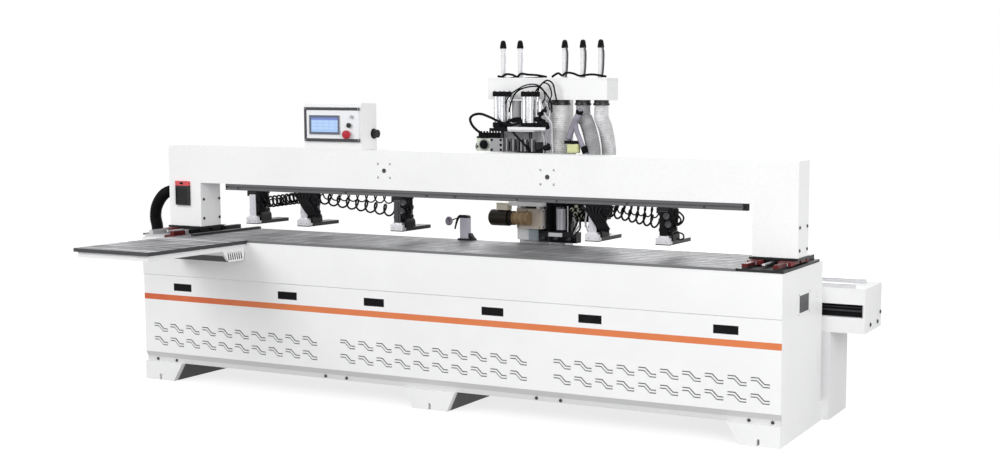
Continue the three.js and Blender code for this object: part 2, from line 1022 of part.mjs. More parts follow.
function pressBody(x) {
  const half = press.bodyWidth / 2;
  const rear = pressFront + press.bodyDepth;
  const bottom = pressTop - press.bodyHeight;
  const middle = (pressFront + rear) / 2;
  let body = box(x - half, x + half, pressFront, rear, bottom, pressTop);
  const flutePitch = press.bodyWidth / press.flutes;
  for (let i = 0; i < press.flutes; i++) {
    const fluteX = x - half + (i + 0.5) * flutePitch;
    body = cut(
      body,
      rod("z", fluteX, pressFront, press.flute / 2, bottom + press.capHeight, pressTop - press.capHeight, 8),
    );
  }
  for (const z of [bottom, pressTop - press.capHeight]) {
    body = join(
      body,
      box(
        x - half - press.capProud,
        x + half + press.capProud,
        pressFront,
        rear + press.capProud,
        z,
        z + press.capHeight,
      ),
    );
  }
  for (const y of [middle - press.rodSpacing / 2, middle + press.rodSpacing / 2]) {
    const top = press.rodTop + press.rodRoom;
    body = cut(body, rod("z", x, y, press.rod / 2 + runningGap, bottom - overrun, top, 16));
  }
  return body;
}

function pressFoot(x) {
  const front = gantry.front - press.padSetback;
  const rear = front + press.padLength;
  const half = press.padWidth / 2;
  const top = press.padBottom + press.padThickness;
  let pad = prism(
    "x",
    [
      [front, press.padBottom],
      [rear, press.padBottom],
      [rear, top],
      [front + press.lipThickness, top],
      [front + press.lipThickness, press.padBottom + press.lipHeight],
      [front, press.padBottom + press.lipHeight],
    ],
    x - half,
    x + half,
  );
  const middle = pressFront + press.bodyDepth / 2;
  for (const y of [middle - press.rodSpacing / 2, middle + press.rodSpacing / 2]) {
    const rodBottom = press.padBottom + press.padThickness / 2;
    pad = join(pad, rod("z", x, y, press.rod / 2, rodBottom, press.rodTop, 16));
  }
  return pad;
}

function addPressUnits() {
  pressPlaces.forEach((x, i) => {
    addPart(`press_cylinder_${i + 1}`, pressBody(x), darkSteel);
    addPart(`press_foot_${i + 1}`, pressFoot(x), aluminium);
  });
}

// A coil hose from the right side of one press unit to the left side of another: straight ends, and
// between them a helix that opens from the line of the ends to its full radius and closes again.
function coilHose(span, name) {
  const reach = press.bodyWidth / 2 + seatGap;
  const y = pressFront + coil.behindFront;
  const start = new THREE.Vector3(pressPlaces[span.from] + reach, y, pressTop - span.startDrop);
  const end = new THREE.Vector3(pressPlaces[span.to] - reach, y, pressTop - span.endDrop);
  const straight = 2 * coil.tube;
  const first = start.clone().addScaledVector(alongX, straight);
  const last = end.clone().addScaledVector(alongX, -straight);
  const axis = new THREE.Vector3().subVectors(last, first);
  const side = alongY;
  const up = new THREE.Vector3().crossVectors(side, axis).normalize();
  const points = [start, first];
  const steps = span.curls * coil.stepsPerCurl;
  for (let i = 1; i < steps; i++) {
    const t = i / steps;
    const open = Math.min(1, t / coil.rampShare, (1 - t) / coil.rampShare);
    const radius = coil.radius * open * open * (3 - 2 * open);
    const angle = 2 * Math.PI * span.curls * t;
    const point = first.clone().addScaledVector(axis, t);
    point.addScaledVector(side, radius * Math.sin(angle));
    point.addScaledVector(up, radius * Math.cos(angle));
    points.push(point);
  }
  points.push(last, end);
  printLeastGap(name, points, coil.tube);
  return tubeOver(points, new Array(points.length).fill(coil.tube), coil.sides);
}

function addCoilHoses() {
  coilSpans.forEach((span, i) => {
    const name = `coil_hose_${i + 1}`;
    addPart(name, coilHose(span, name), blackPart);
  });
}

// Control box

function controlBox() {
  const { left, right, top, depth, wall, chamfer } = control;
  const front = gantry.front;
  const bottom = gantry.top + seatGap;
  const outer = prism(
    "x",
    [
      [front, bottom],
      [front + depth, bottom],
      [front + depth, top - chamfer],
      [front + depth - chamfer, top],
      [front + chamfer, top],
      [front, top - chamfer],
    ],
    left,
    right,
  );
  const hollowRear = front + depth - wall;
  const hollow = box(left + wall, right - wall, front + wall, hollowRear, bottom - overrun, top - 2 * chamfer);
  const knobHole = rod(
    "x",
    sideKnob.y,
    sideKnob.z,
    sideKnob.stem + runningGap,
    right - wall - overrun,
    right + overrun,
    16,
  );
  return join(cut(outer, hollow, knobHole), controlPanel());
}

// The panel on the front of the box, with its screen and blind holes for what is pressed or turned.
function controlPanel() {
  const back = gantry.front - seatGap;
  const front = back - control.panelThickness;
  const { screenLeft, screenRight, screenBottom, screenTop, bezel, bezelRim, bezelDepth } = control;
  let panel = box(
    control.left + control.panelInset,
    control.right - control.panelInset,
    front,
    back,
    control.panelBottom,
    control.panelTop,
  );
  panel = join(panel, box(screenLeft, screenRight, front - bezel, back, screenBottom, screenTop));
  const glass = box(
    screenLeft + bezelRim,
    screenRight - bezelRim,
    front - bezel - overrun,
    front - bezel + bezelDepth,
    screenBottom + bezelRim,
    screenTop - bezelRim,
  );
  const holes = [
    [eStop, eStop.stem],
    [startButton, startButton.stem],
    [keySwitch, keySwitch.barrel],
  ].map(([place, radius]) =>
    rod("y", place.z, place.x, radius + runningGap, front - overrun, back + overrun, 16),
  );
  const seat = box(
    control.left + control.panelInset,
    control.right - control.panelInset,
    back,
    gantry.front,
    control.panelBottom,
    control.panelTop,
  );
  return join(cut(panel, glass, ...holes), seat);
}

// A push button whose stem stands in the panel, with its profile along the way out of the panel.
function pushButton(button) {
  const out = new THREE.Vector3(0, -1, 0);
  const face = gantry.front - seatGap - control.panelThickness;
  const { stem, reach, cap, neck, capHeight, dome } = button;
  const profile = [
    [0, -reach],
    [stem, -reach],
    [stem, neck],
    [cap - dome / 2, neck],
    [cap, neck + dome / 2],
    [cap, neck + capHeight - dome],
    [cap - dome, neck + capHeight - dome / 3],
    [0, neck + capHeight],
  ];
  return turned(profile, out, [button.x, face, button.z], 16);
}

function keyPiece() {
  const out = new THREE.Vector3(0, -1, 0);
  const face = gantry.front - seatGap - control.panelThickness;
  const { barrel, reach, face: faceRadius, faceHeight, bowWidth, bowLength, bowHeight } = keySwitch;
  const lock = turned(
    [
      [0, -reach],
      [barrel, -reach],
      [barrel, runningGap],
      [faceRadius, runningGap],
      [faceRadius, faceHeight],
      [0, faceHeight],
    ],
    out,
    [keySwitch.x, face, keySwitch.z],
  );
  const bow = box(
    keySwitch.x - bowWidth / 2,
    keySwitch.x + bowWidth / 2,
    face - faceHeight - bowLength,
    face - faceHeight + runningGap,
    keySwitch.z - bowHeight / 2,
    keySwitch.z + bowHeight / 2,
  );
  return join(lock, bow);
}

function sideKnobPiece() {
  const outline = [];
  for (let i = 0; i < sideKnob.grips * 2; i++) {
    const angle = (Math.PI * i) / sideKnob.grips;
    const radius = i % 2 ? sideKnob.radius - sideKnob.gripDepth : sideKnob.radius;
    outline.push([sideKnob.y + radius * Math.cos(angle), sideKnob.z + radius * Math.sin(angle)]);
  }
  const face = control.right + sideKnob.reach;
  return join(
    prism("x", outline, face, face + sideKnob.height),
    rod("x", sideKnob.y, sideKnob.z, sideKnob.stem, control.right - control.wall, face + sideKnob.reach, 16),
  );
}

function breakerBox() {
  const { left, right, bottom, top, depth, chamfer, recess, rim, shoulder } = breaker;
  const back = gantry.front - seatGap;
  const front = back - depth;
  const body = prism(
    "z",
    [
      [left, back],
      [left, front + chamfer],
      [left + chamfer, front],
      [right - chamfer, front],
      [right, front + chamfer],
      [right, back],
    ],
    bottom,
    top,
  );
  const window = box(left + rim, right - rim, front - overrun, front + recess, bottom + rim, bottom + shoulder);
  return cut(body, window);
}

function addControls() {
  addPart("control_box", controlBox(), whitePaint);
  addPart("e_stop", pushButton(eStop), redPart);
  addPart("start_button", pushButton(startButton), blackPart);
  addPart("key_switch", keyPiece(), aluminium);
  addPart("side_knob", sideKnobPiece(), blackPart);
  addPart("breaker_box", breakerBox(), blackPart);
}

// Supply conduit

// A ribbed tube with smooth straight ends. Each end of the route is a pair of points in line with the
// end's axis, and the tube is straight over the first part of that pair.
function ribbedTube(route, sizes) {
  const { radius, ribRadius, ribPitch, ribWidth, sides } = sizes;
  const straightShare = 2 / 3;
  const first = route[0].clone().lerp(route[1], straightShare);
  const last = route.at(-1).clone().lerp(route.at(-2), straightShare);
  const curve = new THREE.CatmullRomCurve3(
    [route[0], first, ...route.slice(1, -1), last, route.at(-1)],
    false,
    "centripetal",
  );
  curve.arcLengthDivisions = 800;
  const length = curve.getLength();
  const endLength = Math.min(first.distanceTo(route[0]), last.distanceTo(route.at(-1)));
  const points = [];
  const radii = [];
  const put = (distance, size) => {
    points.push(curve.getPointAt(Math.min(1, distance / length)));
    radii.push(size);
  };
  const ribs = Math.floor((length - 2 * endLength) / ribPitch);
  const firstRib = (length - ribs * ribPitch) / 2;
  put(0, radius);
  put(firstRib / 2, radius);
  for (let i = 0; i < ribs; i++) {
    const start = firstRib + i * ribPitch;
    put(start, radius);
    put(start + ribWidth / 4, ribRadius);
    put(start + (3 * ribWidth) / 4, ribRadius);
    put(start + ribWidth, radius);
  }
  put(length - firstRib / 2, radius);
  put(length, radius);
  return tubeOver(points, radii, sides);
}

function addConduit() {
  const { y, top, straight, landX, landY } = conduit;
  const landZ = conduitBracket.top + seatGap;
  const route = [
    [-seatGap, y, top],
    [-straight, y, top],
    ...conduitBends,
    [landX, landY, landZ + straight],
    [landX, landY, landZ],
  ].map((place) => new THREE.Vector3(...place));
  addPart("supply_conduit", ribbedTube(route, conduit), blackPart);
  const front = landY - conduitBracket.width / 2;
  const rear = landY + conduitBracket.width / 2;
  const shelfBottom = conduitBracket.top - conduitBracket.thickness;
  const bracket = join(
    box(-conduitBracket.reach, -seatGap, front, rear, shelfBottom, conduitBracket.top),
    box(
      -seatGap - conduitBracket.thickness,
      -seatGap,
      front,
      rear,
      conduitBracket.top - conduitBracket.flange,
      conduitBracket.top,
    ),
  );
  addPart("conduit_bracket", bracket, darkSteel);
}

// Pop-up stop

const stopFront = table.frontSetback + table.depth - stop.fromRear;

// The slot in which the stop runs through the table and the bed top.
function stopSlot(from, to) {
  const half = stop.width / 2 + runningGap;
  const rear = stopFront + stop.depth + runningGap;
  return box(stop.x - half, stop.x + half, stopFront - runningGap, rear, from, to);
}

function addStop() {
  const left = stop.x - stop.width / 2;
  const right = stop.x + stop.width / 2;
  const { bottom, top, topRadius, guideWall, guideHeight, guideRight, ribHeight } = stop;
  const outline = [
    [bottom, left],
    [bottom, right],
  ];
  for (const [centreX, first] of [
    [right - topRadius, 0],
    [left + topRadius, 1],
  ]) {
    for (let i = 0; i <= 4; i++) {
      const angle = ((first + i / 4) * Math.PI) / 2;
      outline.push([top - topRadius + topRadius * Math.sin(angle), centreX + topRadius * Math.cos(angle)]);
    }
  }
  addPart("stop_post", prism("y", outline, stopFront, stopFront + stop.depth), aluminium);

  const guideBottom = tableTop + seatGap;
  const guideTop = guideBottom + guideHeight;
  const guideEnd = right + guideWall + guideRight;
  const plate = box(
    left - guideWall,
    guideEnd,
    stopFront - guideWall,
    stopFront + stop.depth + guideWall,
    guideBottom,
    guideTop,
  );
  const rib = prism(
    "y",
    [
      [guideBottom, right],
      [guideBottom, guideEnd],
      [guideTop, guideEnd],
      [guideTop + ribHeight, right + guideWall],
      [guideTop + ribHeight, right],
    ],
    stopFront,
    stopFront + stop.depth,
  );
  addPart("stop_guide", cut(join(plate, rib), stopSlot(guideBottom - overrun, top)), blackPart);
}

// Drilling head

function addCarriage() {
  const right = carriage.left + carriage.width;
  let plate = box(carriage.left, right, carriage.front, carriage.rear, carriageBottom, carriageTop);
  const runnerOutline = (y) => {
    const half = carriage.runnerWidth / 2;
    const room = xRail.width / 2 + runningGap;
    const bottom = carriageBottom - carriage.runnerDrop;
    const inside = xRailTop + runningGap;
    return [
      [y - half, bottom],
      [y - room, bottom],
      [y - room, inside],
      [y + room, inside],
      [y + room, bottom],
      [y + half, bottom],
      [y + half, carriageTop - carriage.plate / 2],
      [y - half, carriageTop - carriage.plate / 2],
    ];
  };
  const runnerPlaces = [
    carriage.left + carriage.runnerInset,
    right - carriage.runnerInset - carriage.runnerLength,
  ];
  for (const y of xRailPlaces) {
    for (const x of runnerPlaces) {
      plate = join(plate, prism("x", runnerOutline(y), x, x + carriage.runnerLength));
    }
  }
  for (const x of feedRailPlaces) {
    plate = join(
      plate,
      box(
        x,
        x + carriage.feedRail,
        feed.front - feed.travel,
        feed.rear,
        carriageTop - carriage.plate / 2,
        carriageTop + carriage.feedRailHeight,
      ),
    );
  }
  addPart("x_carriage", plate, darkSteel);
}

const feedRailPlaces = [
  carriage.left + carriage.feedRailInset,
  carriage.left + carriage.width - carriage.feedRailInset - carriage.feedRail,
];

// The column up from the cross carriage, closed up to the manifold's back.
function columnMast() {
  const { left, width, depth, wall, base, baseThickness } = column;
  const top = columnTop;
  const right = left + width;
  const bottom = carriageTop + seatGap;
  const rear = columnFront + depth;
  return cut(
    join(
      box(left, right, columnFront, rear, bottom, top),
      box(left, right, columnFront - seatGap, columnFront, manifoldBottom, top),
      box(left - base, right + base, columnFront, rear + base, bottom, bottom + baseThickness),
    ),
    box(left + wall, right - wall, columnFront + wall, rear - wall, bottom - overrun, top - wall),
  );
}

function addManifold() {
  const { left, width, front, depth, height, sheet, collarHeight, collarWall } = manifold;
  const bottom = manifoldBottom;
  const right = left + width;
  const rear = front + depth;
  const top = bottom + height;
  const middle = front + depth / 2;
  let housing = box(left, right, front, rear, bottom, top);
  const collars = dustHose.startX.map((x, i) =>
    rod("z", x, middle, dustHose.radii[i], bottom - collarHeight, bottom + sheet, 24),
  );
  housing = join(housing, ...collars);
  const gates = gatePlaceShares.map((share) =>
    turned(
      [
        [0, -sheet],
        [gate.flange, -sheet],
        [gate.flange, gate.flangeHeight],
        [gate.radius, gate.flangeHeight],
        [gate.radius, gate.bodyHeight],
        [gate.cap, gate.bodyHeight],
        [gate.cap, gate.bodyHeight + gate.capHeight - gate.cap / 2],
        [gate.cap / 2, gate.bodyHeight + gate.capHeight],
        [0, gate.bodyHeight + gate.capHeight],
      ],
      alongZ,
      [left + share * width, middle, top],
      gate.sides,
    ),
  );
  const bores = dustHose.startX.map((x, i) =>
    rod("z", x, middle, dustHose.radii[i] - collarWall, bottom - collarHeight - overrun, bottom + sheet, 24),
  );
  const hollow = box(left + sheet, right - sheet, front + sheet, rear - sheet, bottom + sheet, top - sheet);
  const boxWithGates = join(cut(housing, hollow, ...bores), ...gates);
  addPart("dust_manifold", join(boxWithGates, columnMast()), whitePaint);
}

const hoodSpigotTop = drillBlock.hoodTop + drillBlock.spigot;
const towerSpigotTop = drillBlock.towerTop + drillBlock.spigot;
const hoseLandings = [towerSpigotTop, hoodSpigotTop, hoodSpigotTop].map((z, i) => ({
  x: dustHose.landX[i],
  y: dustHose.landY[i],
  z,
}));
// The places that each dust hose passes between its straight ends, with the height as a share of
// the way up from its landing to the manifold
const hoseBends = [
  [[2350, 830]],
  [
    [2512, 818],
    [2576, 790],
    [2540, 788],
  ],
  [
    [2616, 862],
    [2630, 878],
    [2602, 876],
  ],
];
const hoseBendShares = [[0.508], [0.834, 0.481, 0.24], [0.741, 0.481, 0.24]];

function addDustHoses() {
  const middle = manifold.front + manifold.depth / 2;
  hoseLandings.forEach((land, i) => {
    const radius = dustHose.radii[i] - dustHose.ribHeight;
    const startX = dustHose.startX[i];
    const landZ = land.z + seatGap;
    const straight = 2 * radius;
    const route = [
      [startX, middle, hoseStartZ],
      [startX, middle, hoseStartZ - straight],
      ...hoseBends[i].map(([x, y], k) => [x, y, landZ + hoseBendShares[i][k] * (hoseStartZ - landZ)]),
      [land.x, land.y, landZ + straight],
      [land.x, land.y, landZ],
    ].map((place) => new THREE.Vector3(...place));
    const sizes = { ...dustHose, radius, ribRadius: dustHose.radii[i] };
    addPart(`dust_hose_${i + 1}`, ribbedTube(route, sizes), hoseGrey);
  });
}

const guidePlaces = [
  feed.postLeft + feed.guideInset,
  feed.postRight - feed.guideInset - feed.guideWidth,
];

function addFeedSlide() {
  const right = feed.left + feed.width;
  const postRear = feed.postFront + feed.postThickness;
  const plateMiddle = feedTop - feed.plate / 2;
  let slide = join(
    box(feed.left, right, feed.front, feed.rear, feedBottom, feedTop),
    box(feed.postLeft, feed.postRight, feed.postFront, postRear, plateMiddle, feed.top),
    box(feed.left, feed.postRight, feed.postFront, postRear, feed.crossheadBottom, feed.top),
    box(feed.left, feed.postRight, feed.deckFront, postRear, feed.top, deckTop),
  );
  for (const x of guidePlaces) {
    const guideFront = feed.postFront - feed.guideDepth;
    const inPost = feed.postFront + feed.postThickness / 2;
    slide = join(slide, box(x, x + feed.guideWidth, guideFront, inPost, feed.guideBottom, feed.guideTop));
  }
  const ribOutline = [
    [postRear - feed.postThickness / 2, plateMiddle],
    [feed.rear, plateMiddle],
    [feed.rear, feedTop],
    [postRear, feedTop + (feed.rear - postRear)],
    [postRear - feed.postThickness / 2, feedTop + (feed.rear - postRear)],
  ];
  for (const x of [feed.postLeft, feed.postRight - feed.rib]) {
    slide = join(slide, prism("x", ribOutline, x, x + feed.rib));
  }
  for (const x of cylinderPlaces) {
    const rodRoom = lift.rod + runningGap;
    slide = cut(slide, rod("z", x, cylinder.y, rodRoom, feed.top - overrun, deckTop + overrun, 16));
  }
  addPart("feed_slide", slide, greyPaint);
}

function addLiftCylinders() {
  const { size, y, height, endCap, bore, tieRod, tieInset } = cylinder;
  const half = size / 2;
  const bottom = cylinderBottom;
  const top = bottom + height;
  cylinderPlaces.forEach((x, i) => {
    let body = join(
      box(x - half, x + half, y - half, y + half, bottom, bottom + endCap),
      box(x - half, x + half, y - half, y + half, top - endCap, top),
      rod("z", x, y, bore, bottom + endCap / 2, top - endCap / 2, 24),
    );
    const inset = half - tieInset;
    for (const tieX of [x - inset, x + inset]) {
      for (const tieY of [y - inset, y + inset]) {
        body = join(body, rod("z", tieX, tieY, tieRod, bottom + endCap / 2, top - endCap / 2, 8));
      }
    }
    const boreTop = lift.rodTop + lift.travel + runningGap;
    const hole = rod("z", x, y, lift.rod + runningGap, bottom - overrun, boreTop, 16);
    addPart(`lift_cylinder_${i + 1}`, cut(body, hole), aluminium);
  });
}

// The air service unit on the left end of the crosshead: a box with a knob under a valve bank.
function addAirUnit() {
  const { left, right, valvesLeft, valvesRight, front, bottom, middle, top, knob, knobHeight } = airUnit;
  const rear = feed.postFront - seatGap;
  const housing = box(left, right, front, rear, bottom, middle + knobHeight);
  const turnKnob = rod("y", (bottom + middle) / 2, (left + right) / 2, knob, front - knobHeight, rear, 16);
  const valves = box(valvesLeft, valvesRight, front, rear, middle, top);
  addPart("air_service_unit", join(housing, turnKnob, valves), blackPart);
}

function addLiftSlide() {
  const rear = lift.front + lift.thickness;
  let slide = join(
    box(lift.left, lift.right, lift.front, rear, lift.bottom, lift.top),
    box(lift.shelfLeft, lift.right, lift.shelfFront, rear, lift.top - lift.shelf, lift.top),
  );
  for (const x of guidePlaces) {
    slide = cut(
      slide,
      box(
        x - runningGap,
        x + feed.guideWidth + runningGap,
        feed.postFront - feed.guideDepth - runningGap,
        rear + overrun,
        lift.bottom - overrun,
        lift.top + overrun,
      ),
    );
  }
  for (const x of cylinderPlaces) {
    slide = join(slide, rod("z", x, cylinder.y, lift.rod, lift.top - lift.shelf / 2, lift.rodTop, 16));
  }
  addPart("lift_slide", slide, darkSteel);
}

function addMotor() {
  const { left, fanCover, fanLength, body, bodyEnd, fins, y, z } = motor;
  const { boxLeft, boxRight, boxFront, boxBottom, boxTop, plateLeft, plateRight, plateThickness } = motor;
  const profile = [
    [0, 0],
    [fanCover - body / 4, 0],
    [fanCover, body / 4],
    [fanCover, fanLength],
  ];
  const finPitch = (bodyEnd - left - fanLength) / fins;
  const finDepth = finPitch / 8;
  for (let i = 0; i < fins; i++) {
    const start = fanLength + i * finPitch;
    profile.push([body - finDepth, start]);
    profile.push([body - finDepth, start + finPitch / 2]);
    profile.push([body, start + finPitch / 2]);
    profile.push([body, start + finPitch]);
  }
  profile.push([0, bodyEnd - left]);
  const rear = lift.front - seatGap;
  const shell = turned(profile, alongX, [left, y, z], 20);
  const gearBox = box(boxLeft, boxRight, boxFront, rear, boxBottom, boxTop);
  const plate = box(plateLeft, plateRight, rear - plateThickness, rear, lift.bottom, boxTop - plateThickness);
  addPart("drive_motor", join(shell, gearBox, plate), brownPaint);
}

function addDrillBlock() {
  const d = drillBlock;
  const bar = prism(
    "x",
    [
      [d.front, lift.bottom],
      [d.shallowRear, lift.bottom],
      [d.shallowRear, d.top],
      [d.front + d.chamfer, d.top],
      [d.front, d.top - d.chamfer],
    ],
    d.left,
    d.right,
  );
  const base = join(bar, box(d.left, d.deepRight, d.shallowRear - d.chamfer, d.rear, lift.bottom, d.top));
  const tower = box(d.towerLeft, d.towerRight, d.towerFront, d.rear, d.top - d.chamfer, d.towerTop);
  const spindleMotor = rod("z", d.spindleX, d.towerFront, d.spindleRadius, d.top - d.chamfer, d.spindleTop, 20);
  const hood = prism(
    "x",
    [
      [d.hoodFront, d.hoodBottom],
      [d.hoodRear, d.hoodBottom],
      [d.hoodRear, d.hoodTop],
      [d.hoodFront + d.hoodSlope, d.hoodTop],
      [d.hoodFront, d.hoodTop - d.hoodSlope],
    ],
    d.towerRight - d.chamfer,
    d.hoodRight,
  );
  const mount = box(lift.right + seatGap, d.left + d.chamfer, d.front + d.chamfer, d.rear, lift.bottom, d.top);
  let block = join(base, tower, spindleMotor, hood);
  hoseLandings.forEach((land, i) => {
    block = join(block, rod("z", land.x, land.y, dustHose.radii[i], land.z - 2 * d.spigot, land.z, 20));
  });
  hoseLandings.forEach((land, i) => {
    const radius = dustHose.radii[i] - d.spigotWall;
    block = cut(block, rod("z", land.x, land.y, radius, land.z - d.spigot, land.z + overrun, 20));
  });
  for (let i = 0; i < 3; i++) {
    const x = chuck.firstX + i * chuck.pitch;
    const depth = d.front + chuck.shankIn + runningGap;
    block = cut(block, rod("y", chuck.axisZ, x, chuck.shank + runningGap, d.front - overrun, depth, 16));
  }
  addPart("drill_block", join(block, mount), blockBlack);
}

function addChucks() {
  const { axisZ, firstX, pitch, shank, shankIn, radius, length, nose, bit, bitLength } = chuck;
  const out = new THREE.Vector3(0, -1, 0);
  for (let i = 0; i < 3; i++) {
    const piece = turned(
      [
        [0, -shankIn],
        [shank, -shankIn],
        [shank, runningGap],
        [radius, runningGap],
        [radius, length - nose],
        [nose, length],
        [bit, length],
        [bit, length + bitLength - bit],
        [0, length + bitLength],
      ],
      out,
      [firstX + i * pitch, drillBlock.front, axisZ],
      12,
    );
    addPart(`drill_chuck_${i + 1}`, piece, aluminium);
  }
}

addBed();
addRearBeam();
addTables();
addGantry();
addPressUnits();
addCoilHoses();
addControls();
addConduit();
addStop();
addCarriage();
addManifold();
addDustHoses();
addFeedSlide();
addLiftCylinders();
addAirUnit();
addLiftSlide();
addMotor();
addDrillBlock();
addChucks();

machine.position.set(-bed.length / 2, -bed.depth / 2, 0);
const part = new THREE.Group();
part.add(machine);

export default part;
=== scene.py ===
import json
import math

import bmesh
import bpy
from mathutils import Matrix, Vector


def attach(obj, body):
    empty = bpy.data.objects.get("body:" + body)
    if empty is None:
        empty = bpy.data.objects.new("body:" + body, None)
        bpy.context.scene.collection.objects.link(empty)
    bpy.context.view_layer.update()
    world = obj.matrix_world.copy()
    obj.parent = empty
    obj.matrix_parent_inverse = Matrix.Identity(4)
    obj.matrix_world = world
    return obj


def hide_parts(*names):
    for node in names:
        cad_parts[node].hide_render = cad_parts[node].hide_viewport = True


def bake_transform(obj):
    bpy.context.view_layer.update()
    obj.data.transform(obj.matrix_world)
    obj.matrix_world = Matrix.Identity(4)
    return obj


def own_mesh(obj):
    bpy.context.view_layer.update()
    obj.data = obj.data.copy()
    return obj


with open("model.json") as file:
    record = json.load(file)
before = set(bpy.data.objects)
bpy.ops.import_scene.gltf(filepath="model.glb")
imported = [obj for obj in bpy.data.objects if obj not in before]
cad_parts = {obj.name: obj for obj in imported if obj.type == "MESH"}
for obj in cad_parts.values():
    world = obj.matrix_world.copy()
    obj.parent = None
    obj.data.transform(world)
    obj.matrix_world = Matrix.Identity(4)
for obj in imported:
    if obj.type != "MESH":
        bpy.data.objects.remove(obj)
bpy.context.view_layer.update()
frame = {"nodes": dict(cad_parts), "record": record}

# Machine coordinates are millimetres from the bed's front left corner on the floor, as in the part.
BED_LENGTH = 3980
BED_DEPTH = 650
ORIGIN = {"x": BED_LENGTH / 2, "y": BED_DEPTH / 2, "z": 0}
RIGHT, BACK, UP = (1, 0, 0), (0, 1, 0), (0, 0, 1)
FRONT, DOWN = (0, -1, 0), (0, 0, -1)


def at(x, y, z):
    """A point of the machine, in metres in the row frame."""
    return Vector((x - ORIGIN["x"], y - ORIGIN["y"], z)) / 1000


def new_object(name, data):
    thing = bpy.data.objects.new(name, data)
    bpy.context.collection.objects.link(thing)
    return thing


# Camera, solved from the photo's vanishing lines

AZIMUTH, PITCH, ROLL = 23.0, 5.5, 0.5
CAMERA_PLACE = (6015.4, -6047.9, 1635.6)
SENSOR_WIDTH, LENS, SHIFT_X = 36, 48.52, -0.18


def make_camera():
    azimuth, pitch, roll = (math.radians(a) for a in (AZIMUTH, PITCH, ROLL))
    forward = Vector(
        (-math.sin(azimuth) * math.cos(pitch), math.cos(azimuth) * math.cos(pitch), -math.sin(pitch))
    )
    right = Vector((math.cos(azimuth), math.sin(azimuth), 0))
    up = right.cross(forward)
    rolled_right = right * math.cos(roll) + up * math.sin(roll)
    rolled_up = up * math.cos(roll) - right * math.sin(roll)
    data = bpy.data.cameras.new("camera")
    data.sensor_width = SENSOR_WIDTH
    data.lens = LENS
    data.shift_x = SHIFT_X
    data.clip_start = 0.1
    data.clip_end = 200
    camera = new_object("camera", data)
    axes = Matrix((rolled_right, rolled_up, -forward)).transposed()
    camera.matrix_world = Matrix.Translation(at(*CAMERA_PLACE)) @ axes.to_4x4()
    bpy.context.scene.camera = camera


make_camera()


# Materials

MATERIALS = {}


class Tree:
    """A node tree, with short calls that add a node and fill its sockets."""

    def __init__(self, tree):
        self.tree = tree

    def fill(self, node, sockets):
        """Gives a node's sockets their values, or links them where the value is an output."""
        for key, value in sockets.items():
            socket = node.inputs[key]
            if isinstance(value, bpy.types.NodeSocket):
                self.tree.links.new(value, socket)
            elif isinstance(value, (tuple, list)) and len(value) == 3 and len(socket.default_value) == 4:
                socket.default_value = (*value, 1)
            else:
                socket.default_value = value

    def add(self, kind, sockets=None, **settings):
        node = self.tree.nodes.new(f"ShaderNode{kind}")
        for key, value in settings.items():
            setattr(node, key, value)
        self.fill(node, sockets or {})
        return node

    def math(self, operation, a, b=0.0):
        return self.add("Math", {0: a, 1: b}, operation=operation).outputs[0]

    def ranged(self, value, low, high):
        """A 0 to 1 value, moved to between low and high."""
        return self.add("MapRange", {"Value": value, "To Min": low, "To Max": high}).outputs[0]


